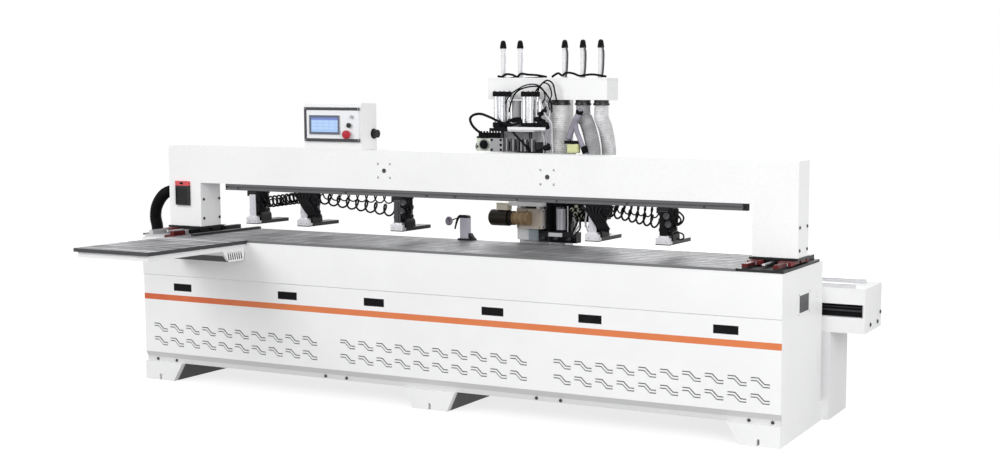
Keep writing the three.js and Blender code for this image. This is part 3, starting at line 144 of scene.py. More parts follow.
class Nodes(Tree):
    """A material's node tree, with the masks, noises and mixes that this scene uses."""

    def __init__(self, name, roughness=0.5, metallic=0.0, specular=0.5, coat=0.0):
        self.material = MATERIALS[name] = bpy.data.materials.new(name)
        self.material.use_nodes = True
        super().__init__(self.material.node_tree)
        self.shader = self.tree.nodes["Principled BSDF"]
        self.shade({"Roughness": roughness, "Metallic": metallic, "Specular IOR Level": specular, "Coat Weight": coat})
        self.place = self.add("TexCoord").outputs["Object"]
        self.pointiness = self.add("NewGeometry").outputs["Pointiness"]

    def shade(self, sockets):
        self.fill(self.shader, sockets)

    def axis(self, letter, vector=None):
        return self.add("SeparateXYZ", {0: vector or self.place}).outputs["xyz".index(letter)]

    def normal(self, letter):
        return self.axis(letter, self.add("TexCoord").outputs["Normal"])

    def step(self, value, low, high):
        """0 below low, 1 above high, smooth between; falls instead if low is above high."""
        sockets = {"Value": value, "From Min": min(low, high), "From Max": max(low, high)}
        sockets["To Min"], sockets["To Max"] = (0, 1) if low < high else (1, 0)
        return self.add("MapRange", sockets, interpolation_type="SMOOTHSTEP").outputs[0]

    def band(self, value, low, high, soft=0.0005):
        rise, fall = self.step(value, low - soft, low + soft), self.step(value, high + soft, high - soft)
        return self.math("MULTIPLY", rise, fall)

    def where(self, kind, start, end):
        """A mask from machine positions: "x" steps up from start to end, "x in" and "x out" take a span."""
        letter, _, side = kind.partition(" ")
        value = self.axis(letter)
        low, high = ((v - ORIGIN[letter]) / 1000 for v in (start, end))
        if not side:
            return self.step(value, low, high)
        inside = self.band(value, low, high)
        return inside if side == "in" else self.math("SUBTRACT", 1.0, inside)

    def coats(self, base, *layers):
        """Coats over a base: each is a colour, then sockets, shares or where's arguments, multiplied."""
        for colour, *masks in layers:
            masks = [self.where(*m) if isinstance(m, tuple) else m for m in masks]
            share = masks[0]
            for mask in masks[1:]:
                share = self.math("MULTIPLY", share, mask)
            base = self.mix(share, base, colour)
        return base

    def noise(self, scale, detail, roughness=0.55, stretch=None, turn=0):
        place = self.place
        if stretch:
            rotation = (0, 0, math.radians(turn))
            place = self.add("Mapping", {"Vector": place, "Scale": stretch, "Rotation": rotation}).outputs[0]
        sockets = {"Vector": place, "Scale": scale, "Detail": detail, "Roughness": roughness}
        return self.add("TexNoise", sockets).outputs["Fac"]

    def mix(self, share, a, b):
        return self.add("Mix", {"Factor": share, "A": a, "B": b}, data_type="RGBA").outputs["Result"]

    def bump(self, height, strength, distance):
        bump = self.add("Bump", {"Height": height, "Strength": strength, "Distance": distance})
        self.shade({"Normal": bump.outputs[0]})

    def worn(self, colour, worn_colour, share=0.3):
        """Edges that stand out, rubbed a little to another colour and broken up by noise."""
        edge = self.step(self.pointiness, 0.54, 0.62)
        broken = self.math("MULTIPLY", edge, self.step(self.noise(160, 4), 0.4, 0.7))
        return self.mix(self.math("MULTIPLY", broken, share), colour, worn_colour)

    def finish(self, base, scale, detail, smoothest, roughest):
        """The shader's colour, and a roughness that a noise moves between two values."""
        roughness = self.ranged(self.noise(scale, detail), smoothest, roughest)
        self.shade({"Base Color": base, "Roughness": roughness})
        return self.material


def tinted(colour, share, more=0.0):
    return tuple(min(c * share + more, 1) for c in colour)


def powder(name, colour, roughness=0.42, dark=0.965, bump=0.12, specular=0.4, extra=None):
    """Powder-coated sheet: a fine orange peel, faint cloudiness and rubbed edges."""
    n = Nodes(name, roughness, specular=specular)
    cloud = n.noise(2.2, 4)
    base = n.mix(n.step(cloud, 0.35, 0.65), tinted(colour, dark), colour)
    base = n.worn(base, tinted(colour, 0.85))
    if extra:
        base = extra(n, base)
    n.bump(n.noise(420, 2), bump, 0.0004)
    return n.finish(base, 38, 2, roughness - 0.06, roughness + 0.08)


def metal(name, colour, roughness=0.35, stretch=(1, 1, 1), grain=300, bump=0.12, metallic=0.9, extra=None):
    """Machined or drawn metal: fine brushed lines along one way, with patchy polish."""
    n = Nodes(name, roughness, metallic, specular=0.3)
    lines = n.noise(grain, 5, 0.6, stretch)
    base = n.mix(n.step(lines, 0.3, 0.7), tinted(colour, 0.78), tinted(colour, 1.12))
    if extra:
        base = extra(n, base)
    n.bump(lines, bump, 0.0003)
    return n.finish(base, 30, 3, roughness - 0.08, roughness + 0.12)


def plastic(name, colour, roughness=0.45, grain=900, bump=0.1, coat=0.0, specular=0.22, extra=None):
    """Moulded plastic: fine grain, slightly lighter dusty patches."""
    n = Nodes(name, roughness, specular=specular, coat=coat)
    dust = n.step(n.noise(26, 5), 0.45, 0.75)
    base = n.mix(dust, colour, tinted(colour, 1.3, 0.003))
    base = n.worn(base, tinted(colour, 1.8, 0.02))
    if extra:
        base = extra(n, base)
    n.bump(n.noise(grain, 2), bump, 0.0003)
    return n.finish(base, 60, 2, roughness - 0.06, roughness + 0.1)


def painted(*layers):
    """A material's extra that is only coats of paint."""
    return lambda n, base: n.coats(base, *layers)


def bed_extra(n, base):
    """The stripe along the front, painted shade on the lip and lower rail below it, and near-black painted shade inside
    the housing.
    """
    red = n.mix(n.where("x", 0, 990), (0.54, 0.075, 0.022), (0.68, 0.19, 0.065))
    patches = n.math("MULTIPLY", n.step(n.noise(5, 3, stretch=(1, 1, 0.2)), 0.4, 0.7), 0.3)
    red = n.mix(patches, red, (0.75, 0.24, 0.08))
    # Painted shade: the housing's inside is near black.
    inside = (("x in", 7.5, 3972.5), ("y in", 26.5, 642.5), ("z", 840.5, 839.5), ("z", 107.5, 108.5))
    return n.coats(
        base,
        (red, ("z in", 479.5, 513.5), ("y", 8, 6)),
        # Painted shade: the sloped lip and the lower rail under the front are grey.
        ((0.66, 0.66, 0.665), ("z", 166.5, 165.5), ("y", 26.5, 26)),
        ((0.02, 0.02, 0.022), *inside),
    )


def foot_extra(n, base):
    """Behind their front plates the slanted sides of the feet, and so the inside, are near black: painted shade of
    hollow channels.
    """
    slanted = n.band(n.math("ABSOLUTE", n.normal("x")), 0.6, 0.97, 0.02)
    return n.coats(base, ((0.01, 0.01, 0.011), slanted, ("y", 30, 34)))


def wing_frame_extra(n, base):
    """Painted shade: the bracket's sloped front is near black, and the recesses between its fins are darker."""
    sloped = n.step(n.normal("y"), -0.3, -0.4)
    return n.coats(
        base,
        ((0.16, 0.16, 0.14), ("z", 797, 789), ("x in", 745, 758), ("y", -140, -138)),
        ((0.006, 0.006, 0.007), sloped, ("z", 789, 783), ("x", 744.6, 744.2)),
    )


def table_extra(n, base, edge_shade=(0.16, 0.16, 0.165)):
    """Painted shade in the grooves and on the edges, and long darker and lighter streaks where panels rub."""
    streak = n.step(n.noise(3.5, 4, 0.6, (0.4, 6, 1)), 0.35, 0.65)
    scuffs = n.step(n.noise(9, 5, 0.7, (1.5, 0.6, 1)), 0.5, 0.66)
    clouds = n.step(n.noise(2.6, 3, 0.5, (1, 2.5, 1)), 0.42, 0.62)
    slanted = n.step(n.noise(1.6, 2, 0.5, (0.5, 9, 1), turn=38), 0.6, 0.7)
    return n.coats(
        base,
        ((0.17, 0.172, 0.182), streak),
        ((0.55, 0.55, 0.57), scuffs, 0.6),
        ((0.08, 0.08, 0.085), ("z", 861.9, 860), 0.7),
        ((0.14, 0.14, 0.15), clouds, 0.5),
        ((0.5, 0.5, 0.52), slanted, 0.55),
        (edge_shade, n.step(n.math("ABSOLUTE", n.normal("z")), 0.6, 0.5)),
    )


def wing_extra(n, base):
    # A darker painted shade on the wing's edges.
    return table_extra(n, base, (0.055, 0.055, 0.06))


def motor_extra(n, base):
    """Brown fins, a black fan cover, and a beige gear case over a grey plate."""
    brown = n.step(n.noise(12, 3, stretch=(1, 0.3, 0.3)), 0.4, 0.6)
    case = (("y", 684.5, 685.5), ("x", 2137, 2138))
    return n.coats(
        base,
        ((0.34, 0.24, 0.13), brown),
        ((0.012, 0.008, 0.004), ("x", 2136, 2135)),
        ((0.93, 0.88, 0.83), *case),
        ((0.36, 0.42, 0.46), *case, ("z", 937.2, 936.8)),
    )


def hose_material(name, colour):
    """Thin grey hose wall, with painted shade between the ribs, mottled with dust."""
    n = Nodes(name, 0.5, specular=0.3)
    dust = n.step(n.noise(14, 5, 0.65), 0.35, 0.7)
    base = n.mix(dust, tinted(colour, 0.78), tinted(colour, 1.12))
    # Painted shade in the creases between the ribs.
    rib_shade = n.math("MULTIPLY", n.step(n.pointiness, 0.49, 0.44), 0.6)
    n.bump(n.noise(500, 2), 0.1, 0.0003)
    return n.finish(n.mix(rib_shade, base, tinted(colour, 0.5)), 60, 2, 0.42, 0.6)


def screen_material():
    """A lit screen: light blue with a dark header and rows of paler cells, under clear glass."""
    n = Nodes("screen", 0.15, coat=0.6)
    rows = n.band(n.math("FRACT", n.math("MULTIPLY", n.axis("z"), 55.0)), 0.25, 0.8, 0.05)
    cells = n.band(n.math("FRACT", n.math("MULTIPLY", n.axis("x"), 24.0)), 0.1, 0.85, 0.03)
    base = n.mix(n.where("z", 1545.5, 1546.5), (0.33, 0.5, 0.78), (0.13, 0.19, 0.5))
    base = n.coats(base, ((0.55, 0.66, 0.82), rows, cells, ("z in", 1490, 1540), 0.4))
    n.shade({"Base Color": base, "Emission Color": base, "Emission Strength": 0.15})
    n.bump(n.noise(700, 2), 0.03, 0.0002)
    return n.material


WHITE = (0.88, 0.882, 0.886)
DARK_RED_PAINT = (0.1, 0.012, 0.013)
CAP_BLACK = (0.012, 0.012, 0.013)
PANEL = ("y", 227.9, 227.6)

powder("bed_paint", WHITE, extra=bed_extra)
powder("foot_paint", WHITE, extra=foot_extra)
powder("beam_paint", WHITE)
# The legs' paint is greyer than the white: painted shade for legs that stand in shade.
powder("leg_paint", (0.8, 0.8, 0.81))
metal("linear_rail", (0.8, 0.8, 0.82), 0.3, (0.1, 8, 8), metallic=0.5)
metal("table_metal", (0.34, 0.34, 0.355), 0.5, (0.05, 4, 1), 120, 0.2, 0.2, extra=table_extra)
metal("wing_metal", (0.7, 0.7, 0.72), 0.5, (0.05, 4, 1), 120, 0.2, 0.2, extra=wing_extra)
powder("wing_frame_paint", WHITE, extra=wing_frame_extra)
# Ground tops on the rails, a light plate at the left track's front, and dark red rail ends.
metal(
    "track_steel", (0.03, 0.03, 0.032), 0.42, (8, 0.1, 8), metallic=0.6,
    extra=painted(
        ((0.2, 0.195, 0.195), ("z", 885.5, 886)),
        ((0.5, 0.5, 0.51), ("y", 150, 142), ("x", 390, 290)),
        (DARK_RED_PAINT, ("x in", 150, 246), ("y", 122, 114)),
        (DARK_RED_PAINT, ("x", 3590, 3690), ("y", 222, 214), ("z", 868.8, 869.4)),
    ),
)
plastic("guide_plastic", CAP_BLACK)
powder("bracket_steel", (0.09, 0.09, 0.095), specular=0.2)
powder("gantry_paint", WHITE)
# Dark red carriages under a black plate; the left bridge foot's inner ones are black, painted shade: shaded copies of
# the red ones.
metal(
    "shoe_steel", CAP_BLACK, 0.4, metallic=0.3,
    extra=painted(((0.11, 0.012, 0.014), ("z", 888.2, 887.6), ("x out", 150, 246))),
)
# Painted shade on the rail's underside, and a dark right end.
metal(
    "rail_aluminium", (0.12, 0.12, 0.126), 0.42, (0.05, 8, 8), metallic=0.6,
    extra=painted(
        ((0.03, 0.03, 0.03), ("z", 1128.5, 1126.5), 0.85),
        ((0.015, 0.015, 0.015), ("x", 3687, 3689)),
    ),
)
# The panel in front of the box: a dark frame, a pale face, and a blue-grey screen bezel.
powder(
    "control_paint", (0.9, 0.9, 0.905),
    extra=painted(
        ((0.13, 0.13, 0.145), PANEL),
        ((0.8, 0.81, 0.83), PANEL, ("x in", 1038, 1412), ("z in", 1442, 1601)),
        ((0.1, 0.115, 0.16), PANEL, ("x in", 1060, 1269), ("z in", 1465, 1573)),
    ),
)
plastic("breaker_plastic", (0.018, 0.018, 0.019), extra=painted(((0.62, 0.09, 0.1), ("z", 1140.5, 1142.5))))
plastic("conduit_rubber", (0.003, 0.003, 0.0035), 0.6, specular=0.08)
metal(
    "press_body", (0.09, 0.09, 0.1), 0.38, (8, 8, 0.1),
    extra=painted((CAP_BLACK, ("z", 1018.9, 1018.4)), (CAP_BLACK, ("z", 1106.9, 1107.4))),
)
plastic("coil_plastic", (0.003, 0.003, 0.004), 0.4, specular=0.12)
# The bar behind the foot's front lip is dark, and so is the rubber sole.
metal(
    "press_pad", (0.62, 0.62, 0.65), 0.33, (6, 0.3, 6),
    extra=painted(
        ((0.035, 0.035, 0.038), ("y", 258, 262), ("z", 956, 954)),
        ((0.012, 0.012, 0.012), ("z", 937.5, 936.5)),
    ),
)
plastic("e_stop_plastic", (0.4, 0.01, 0.025), 0.3, coat=0.2)
plastic("button_plastic", (0.004, 0.012, 0.007), 0.3, coat=0.2)
metal("key_metal", (0.5, 0.5, 0.53), 0.25)
plastic("knob_plastic", (0.014, 0.014, 0.015))
metal(
    "stop_metal", (0.6, 0.58, 0.66), 0.4, (8, 8, 0.1), metallic=0.3,
    extra=painted(((0.014, 0.014, 0.015), ("z", 989.5, 990.5))),
)
powder("carriage_steel", (0.04, 0.04, 0.045), specular=0.2)
# Dark hose collars under the white box, and silver gate cylinders with black caps on it.
powder(
    "manifold_paint", WHITE,
    extra=painted(
        ((0.02, 0.02, 0.022), ("z", 1671.6, 1670.8), ("y", 899.7, 899.3)),
        ((0.68, 0.69, 0.71), ("z in", 1795.3, 1972)),
        ((0.008, 0.008, 0.008), ("z", 1972, 1972.5)),
    ),
)
hose_material("dust_hose_plastic", (0.5, 0.5, 0.51))
powder("feed_paint", (0.62, 0.62, 0.64))
metal(
    "cylinder_metal", (0.72, 0.73, 0.75), 0.22, (8, 8, 0.1),
    extra=painted((CAP_BLACK, ("z", 1530.5, 1530)), (CAP_BLACK, ("z", 1688, 1688.5))),
)
# A black valve bank over a pale housing with a black knob.
plastic(
    "air_unit_plastic", (0.62, 0.66, 0.56),
    extra=painted(
        ((0.008, 0.008, 0.009), ("y", 734.8, 734.2)),
        ((0.008, 0.008, 0.009), ("z", 1445.5, 1446.5)),
    ),
)
# The lift slide's lower left part is painted white.
powder(
    "lift_steel", (0.03, 0.03, 0.034), specular=0.2,
    extra=painted(((0.86, 0.86, 0.87), ("z", 948, 946), ("x", 2190, 2189))),
)
powder("motor_paint", (0.25, 0.15, 0.08), specular=0.25, extra=motor_extra)
# The vertical spindle motor on the black block is bare light metal.
powder(
    "block_paint", (0.012, 0.012, 0.014), specular=0.2,
    extra=painted(((0.8, 0.8, 0.85), ("y", 751.5, 750.5), ("z in", 926.5, 1054), ("x in", 2365, 2437))),
)
metal("chuck_steel", (0.1, 0.1, 0.105), 0.35)

BLACK = plastic("black_plastic", (0.006, 0.006, 0.007), 0.45)
BLACK_RUBBER = plastic("black_rubber", (0.004, 0.004, 0.005), 0.7, specular=0.1)
CUFF_RUBBER = plastic("cuff_rubber", (0.016, 0.016, 0.017), 0.6, specular=0.15)
STEEL = metal("bolt_steel", (0.42, 0.42, 0.44), 0.3)
DARK_STEEL = metal("dark_steel", (0.06, 0.06, 0.065), 0.4)
WINDOW_STEEL = metal("window_steel", (0.11, 0.11, 0.115), 0.45, metallic=0.4)
PRESS_PLATE = metal("press_plate", (0.6, 0.59, 0.64), 0.38, (6, 6, 0.2), metallic=0.3)
# Painted shade for the gaps round the vents' hoods.
VENT_SHADE = powder("vent_shade_paint", (0.13, 0.13, 0.132), specular=0.2)
STOP_LILAC = metal("coupling_metal", (0.3, 0.27, 0.33), 0.4, metallic=0.3)
FITTING = plastic("fitting_plastic", (0.62, 0.66, 0.5), 0.4)
BEIGE = powder("terminal_box_paint", (0.82, 0.76, 0.62))
LIGHT_PAINT = powder("light_paint", (0.8, 0.8, 0.82))
GREY_PAINT = powder("grey_paint", (0.34, 0.34, 0.35))
CLEAR_GREY = plastic("clear_grey_tube", (0.62, 0.62, 0.66), 0.35)
BRANCH_GREY = hose_material("branch_hose_wall", (0.3, 0.28, 0.34))
GREEN_PLASTIC = plastic("green_plastic", (0.66, 0.7, 0.36), 0.45)
DARK_RED = plastic("dark_red_wiper", (0.12, 0.012, 0.014), 0.5)

for entry in frame["record"]["subparts"]:
    node = frame["nodes"][entry["node"]]
    node.data.materials.clear()
    node.data.materials.append(MATERIALS[entry["material_slot"]])


# Pieces

EDGE_ANGLE = math.radians(35)


def finish_piece(name, bm, material, home, bevel=0.0, smooth=None):
    """Makes an object of a bmesh in row metres; home is the body that it rides on, if any, and its slot.

    It is shaded smooth where its edges aren't bevelled, and wears its slot's material if none is given."""
    body, slot = home
    smooth = not bevel if smooth is None else smooth
    mesh = bpy.data.meshes.new(name)
    bmesh.ops.recalc_face_normals(bm, faces=bm.faces)
    bm.to_mesh(mesh)
    bm.free()
    piece = new_object(name, mesh)
    mesh.materials.append(material or MATERIALS[slot])
    for polygon in mesh.polygons:
        polygon.use_smooth = smooth
    if bevel:
        modifier = piece.modifiers.new("edge", "BEVEL")
        modifier.width = bevel / 1000
        modifier.segments = 2
        modifier.limit_method = "ANGLE"
        modifier.angle_limit = EDGE_ANGLE
    if smooth:
        modifier = piece.modifiers.new("normals", "WEIGHTED_NORMAL")
        modifier.keep_sharp = True
    if body:
        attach(piece, body)
    return piece


def add_box(bm, x0, x1, y0, y1, z0, z1):
    corners = [bm.verts.new(at(x, y, z)) for x in (x0, x1) for y in (y0, y1) for z in (z0, z1)]
    for face in ((0, 1, 3, 2), (4, 6, 7, 5), (0, 4, 5, 1), (2, 3, 7, 6), (0, 2, 6, 4), (1, 5, 7, 3)):
        bm.faces.new([corners[i] for i in face])


def add_prism(bm, outline, along, axis):
    """A prism whose outline's points are machine points at its near end, pushed along an axis."""
    offset = Vector(axis) * along / 1000
    near = [bm.verts.new(at(*point)) for point in outline]
    far = [bm.verts.new(v.co + offset) for v in near]
    bm.faces.new(near)
    bm.faces.new(reversed(far))
    for i in range(len(near)):
        j = (i + 1) % len(near)
        bm.faces.new((near[i], near[j], far[j], far[i]))


def add_turned(bm, profile, origin, axis, sides=24):
    """A turned piece: the profile's points are (radius, distance along the axis) in mm."""
    axis = Vector(axis).normalized()
    turn = Vector((0, 0, 1)).rotation_difference(axis)
    start = at(*origin)
    rings = []
    for radius, along in profile:
        if radius < 1e-6:
            rings.append([bm.verts.new(start + axis * along / 1000)])
            continue
        ring = []
        for i in range(sides):
            angle = 2 * math.pi * i / sides
            offset = turn @ Vector((math.cos(angle), math.sin(angle), 0)) * radius / 1000
            ring.append(bm.verts.new(start + axis * along / 1000 + offset))
        rings.append(ring)
    for a, b in zip(rings, rings[1:]):
        for i in range(sides):
            j = (i + 1) % sides
            if len(a) == 1 and len(b) == 1:
                continue
            if len(a) == 1:
                bm.faces.new((a[0], b[i], b[j]))
            elif len(b) == 1:
                bm.faces.new((a[i], b[0], a[j]))
            else:
                bm.faces.new((a[i], b[i], b[j], a[j]))


def smooth_path(points, per_span):
    """A Catmull-Rom line through machine points, as machine points."""
    places = [Vector(p) for p in points]
    places = [places[0] * 2 - places[1], *places, places[-1] * 2 - places[-2]]
    line = []
    for a, b, c, d in zip(places, places[1:], places[2:], places[3:]):
        for i in range(per_span):
            t = i / per_span
            bend = (2 * a - 5 * b + 4 * c - d) * t * t + (3 * b - a - 3 * c + d) * t**3
            line.append(0.5 * ((2 * b) + (c - a) * t + bend))
    line.append(places[-2])
    return line


def add_tube(bm, line, radius, sides):
    """A tube over machine points; radius is a number or one number for each point."""
    radii = radius if isinstance(radius, (list, tuple)) else [radius] * len(line)
    tangents = []
    for i in range(len(line)):
        tangents.append((line[min(i + 1, len(line) - 1)] - line[max(i - 1, 0)]).normalized())
    seed = Vector((0, 0, 1)) if abs(tangents[0].z) < 0.9 else Vector((1, 0, 0))
    normal = tangents[0].cross(seed).normalized()
    rings = []
    for i, point in enumerate(line):
        if i:
            normal = tangents[i - 1].rotation_difference(tangents[i]) @ normal
        binormal = tangents[i].cross(normal)
        ring = []
        for k in range(sides):
            angle = 2 * math.pi * k / sides
            place = point + (normal * math.cos(angle) + binormal * math.sin(angle)) * radii[i]
            ring.append(bm.verts.new(at(*place)))
        rings.append(ring)
    for a, b in zip(rings, rings[1:]):
        for k in range(sides):
            j = (k + 1) % sides
            bm.faces.new((a[k], a[j], b[j], b[k]))
    bm.faces.new(list(reversed(rings[0])))
    bm.faces.new(rings[-1])


def tube(name, material, home, line, radius, sides):
    """A piece that is one tube over machine points."""
    bm = bmesh.new()
    add_tube(bm, line, radius, sides)
    return finish_piece(name, bm, material, home)


def piece(name, material, home, spans=(), turns=(), prisms=(), lines=(), bevel=0.0, smooth=None, sides=10, steps=10):
    """A piece of boxes, turned parts, prisms, and tubes given as (radius, points)."""
    bm = bmesh.new()
    for span in spans:
        add_box(bm, *span)
    for turn in turns:
        add_turned(bm, *turn)
    for prism in prisms:
        add_prism(bm, *prism)
    for radius, points in lines:
        add_tube(bm, smooth_path(points, steps), radius, sides)
    return finish_piece(name, bm, material, home, bevel, smooth)


def each(profile, places, axis, sides):
    """The same turned part at each of the places."""
    return [(profile, place, axis, sides) for place in places]


def studs(name, material, home, profile, places, axis, sides):
    """A piece that is the same turned part at several places."""
    return piece(name, material, home, turns=each(profile, places, axis, sides))


def shifted(x, points):
    return [(x + dx, y, z) for dx, y, z in points]


def rod(radius, length, dome=0):
    return [(0, 0), (radius, 0), (radius, length), (0, length + dome)]


def ring(inner, outer, low, high):
    return [(inner, low), (outer, low), (outer, high), (inner, high), (inner, low)]


def socket_screw(radius, height, hole, floor):
    return [(0, 0), (radius, 0), (radius, height), (hole, height), (hole, floor), (0, floor)]


# Cords and hoses

PRESS_X = [share * BED_LENGTH for share in (0.1563, 0.249, 0.4106, 0.7163, 0.8181)]
PRESS_TOP = 1125.4
COIL_Y, SECOND_COIL_Y = 302, 318
COIL_REACH, COIL_TUBE = 25.3, 4.5
# Units that each coil joins, its curls, and how far its ends are below the units' tops.
COIL_SPANS = ((0, 1, 10, 70, 28), (1, 2, 9, 28, 92), (3, 4, 8, 28, 88))
SECOND_COILS = (
    ((PRESS_X[0] + 40, 1046), (PRESS_X[1] - 30, 1108), 12, 22),
    ((PRESS_X[1] + 60, 1112), (PRESS_X[2] - 32, 1106), 9, 27),
    ((PRESS_X[3] + 60, 1112), (PRESS_X[4] - 32, 1086), 8, 26),
)
ON_COIL = ("gantry", "coil_plastic")


def coil(first, last, end, radius, curls, ramp, steps, phase=0):
    """A coil from first to last that opens and closes over a share of its way, with straight ends."""
    axis = last - first
    side = Vector(BACK)
    up = side.cross(axis).normalized()
    line = [first - Vector((end, 0, 0)), first]
    total = curls * steps
    for i in range(1, total):
        t = i / total
        opening = min(1, t / ramp, (1 - t) / ramp)
        size = radius * opening * opening * (3 - 2 * opening)
        angle = 2 * math.pi * curls * t + phase
        line.append(first + axis * t + side * (size * math.sin(angle)) + up * (size * math.cos(angle)))
    return [*line, last, last + Vector((end, 0, 0))]


for i, (a, b, curls, start_drop, end_drop) in enumerate(COIL_SPANS):
    inset = COIL_REACH + 2 * COIL_TUBE
    first = Vector((PRESS_X[a] + inset, COIL_Y, PRESS_TOP - start_drop))
    last = Vector((PRESS_X[b] - inset, COIL_Y, PRESS_TOP - end_drop))
    line = coil(first, last, 2 * COIL_TUBE, 30, curls, 0.12, 28)
    hose = tube(f"coil_hose_{i + 1}_tube", None, ON_COIL, line, 5.3, 10)
    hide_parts(f"coil_hose_{i + 1}")


def catmull(points, t, i):
    """Point at t in the span after point i of a centripetal Catmull-Rom line."""
    p = [points[max(i - 1, 0)], points[i], points[i + 1], points[min(i + 2, len(points) - 1)]]
    if i == 0:
        p[0] = p[1] * 2 - p[2]
    if i + 2 >= len(points):
        p[3] = p[2] * 2 - p[1]
    steps = [max((b - a).length ** 0.5, 1e-4) for a, b in zip(p, p[1:])]
    slopes = []
    for a, b, c, da, db in ((p[0], p[1], p[2], steps[0], steps[1]), (p[1], p[2], p[3], steps[1], steps[2])):
        slopes.append(((b - a) / da - (c - a) / (da + db) + (c - b) / db) * steps[1])
    h = t * t
    k = h * t
    return p[1] * (2 * k - 3 * h + 1) + slopes[0] * (k - 2 * h + t) + p[2] * (3 * h - 2 * k) + slopes[1] * (k - h)


def even_line(points, gap=2.5):
    """Points about gap apart along a centripetal line through the given ones."""
    rough = []
    for i in range(len(points) - 1):
        rough += [catmull(points, k / 60, i) for k in range(60)]
    rough.append(points[-1])
    along = [0]
    for a, b in zip(rough, rough[1:]):
        along.append(along[-1] + (b - a).length)
    count = round(along[-1] / gap)
    line = []
    k = 0
    for i in range(count + 1):
        want = along[-1] * i / count
        while k + 2 < len(rough) and along[k + 1] < want:
            k += 1
        share = (want - along[k]) / max(along[k + 1] - along[k], 1e-9)
        line.append(rough[k].lerp(rough[k + 1], min(share, 1)))
    return line


def ribbed_hose(name, route, smooth_radius, rib_radius, pitch, material, home, node, left_off=0):
    """A hose with rounded ribs all along but for its straight ends, on the part's own route.

    A cuff stands in for the last millimetres that are left off."""
    points = [Vector(p) for p in route]
    first, last = points[0].lerp(points[1], 2 / 3), points[-1].lerp(points[-2], 2 / 3)
    line = even_line([points[0], first, *points[1:-1], last, points[-1]], pitch / 7)
    total = sum((b - a).length for a, b in zip(line, line[1:]))
    end = (first - points[0]).length * 0.45
    radii = []
    for i in range(len(line)):
        along = total * i / (len(line) - 1)
        wave = 0.5 - 0.5 * math.cos(2 * math.pi * along / pitch)
        ramp = max(0, min(1, (along - end) / pitch, (total - end - along) / pitch))
        radii.append(smooth_radius + (rib_radius - smooth_radius) * (wave**0.6) * ramp)
    kept = round(len(line) * (1 - left_off / total))
    hose = tube(name, material, home, line[:kept], radii[:kept], 32)
    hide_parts(node)
    return hose


DUST_Y = 830
DUST_START_Z = 1672 - 22 - 0.3
# The hoses end this far above their spigots, inside cuffs that rise with the drilling unit.
CUFF_GAP = 38
# Each hose's radius, start, bends with their share of its height, landing and colour.
DUST_ROUTES = (
    (54, 2345, [(2350, 830, 0.508)], (2357, 830, 1101), (0.82, 0.82, 0.82)),
    (43, 2490, [(2512, 818, 0.834), (2576, 790, 0.481), (2540, 788, 0.24)], (2490, 788, 1110), (0.34, 0.34, 0.35)),
    (42, 2606, [(2616, 862, 0.741), (2630, 878, 0.481), (2602, 876, 0.24)], (2574, 876, 1110), (0.68, 0.68, 0.69)),
)

for i, (radius, x, bends, (land_x, land_y, land_z), colour) in enumerate(DUST_ROUTES):
    inner = radius - 4
    top = land_z + 0.3
    route = [
        (x, DUST_Y, DUST_START_Z),
        (x, DUST_Y, DUST_START_Z - 2 * inner),
        *((bend_x, bend_y, top + share * (DUST_START_Z - top)) for bend_x, bend_y, share in bends),
        (land_x, land_y, top + 2 * inner),
        (land_x, land_y, top),
    ]
    name = f"dust_hose_{i + 1}"
    wall_material = hose_material(f"dust_hose_wall_{i + 1}", colour)
    home = (None, "dust_hose_plastic")
    wall = ribbed_hose(f"{name}_wall", route, inner + 1.5, radius - 0.3, 11, wall_material, home, name, CUFF_GAP)
    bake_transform(wall)
    bore, outer, groove = radius + 1, radius + 4, radius + 2.6
    cuff = [(bore, 0.3), (outer, 0.3), (outer, 10)]
    for z in (14, 24, 34):
        cuff += [(outer, z), (groove, z + 2), (groove, z + 4), (outer, z + 6)]
    cuff += [(outer, 46), (bore + 1.5, 49), (bore, 49), (bore, 0.3)]
    home = ("lift", "dust_hose_plastic")
    studs(f"{name}_cuff", CUFF_RUBBER, home, cuff, [(land_x, land_y, land_z)], UP, 48)

CONDUIT_ROUTE = (
    (-0.3, 310, 1106), (-42, 310, 1106), (-118, 308, 1079), (-172, 302, 1010), (-182, 296, 940),
    (-164, 290, 880.3), (-164, 290, 838.3),
)
ribbed_hose(
    "supply_conduit_wall", CONDUIT_ROUTE, 31, 34.8, 9, None, ("gantry", "conduit_rubber"), "supply_conduit"
)


# Bed

ON_BED, ON_BEAM = ("bed", "bed_paint"), ("bed", "beam_paint")
VENT_WIDTH, VENT_HEIGHT, VENT_SLOT = 98, 37, 8


def vent_outline(x, z, half):
    """A slanted Z shape, half on each side of the slot's middle line."""
    high, low = z + VENT_HEIGHT - VENT_SLOT / 2, z + VENT_SLOT / 2
    line = [(x, high), (x + 0.37 * VENT_WIDTH, high), (x + 0.69 * VENT_WIDTH, low), (x + VENT_WIDTH, low)]
    slope = math.atan2(line[2][1] - line[1][1], line[2][0] - line[1][0])
    bend = half * math.tan(-slope / 2)
    upper = [(px + shift, pz + half) for (px, pz), shift in zip(line, (0, bend, bend, 0))]
    lower = [(px - shift, pz - half) for (px, pz), shift in zip(line, (0, bend, bend, 0))]
    return upper + lower[::-1]


# A pressed hood over each slot, with a dark strip round it as painted shade of the slot's gap.
VENTS = [(71 + group * 1337 + i * 120, z) for group in range(3) for i in range(10) for z in (216, 297)]
for name, material, half, face, depth, bevel in (
    ("vent_slot_shades", VENT_SHADE, 10, 4.7, 0.2, 0),
    ("vent_hoods", MATERIALS["beam_paint"], 4.4, 1.5, 3.1, 1.2),
):
    prisms = [([(px, face, pz) for px, pz in vent_outline(x, z, half)], depth, BACK) for x, z in VENTS]
    piece(name, material, ON_BED, prisms=prisms, bevel=bevel, smooth=False)

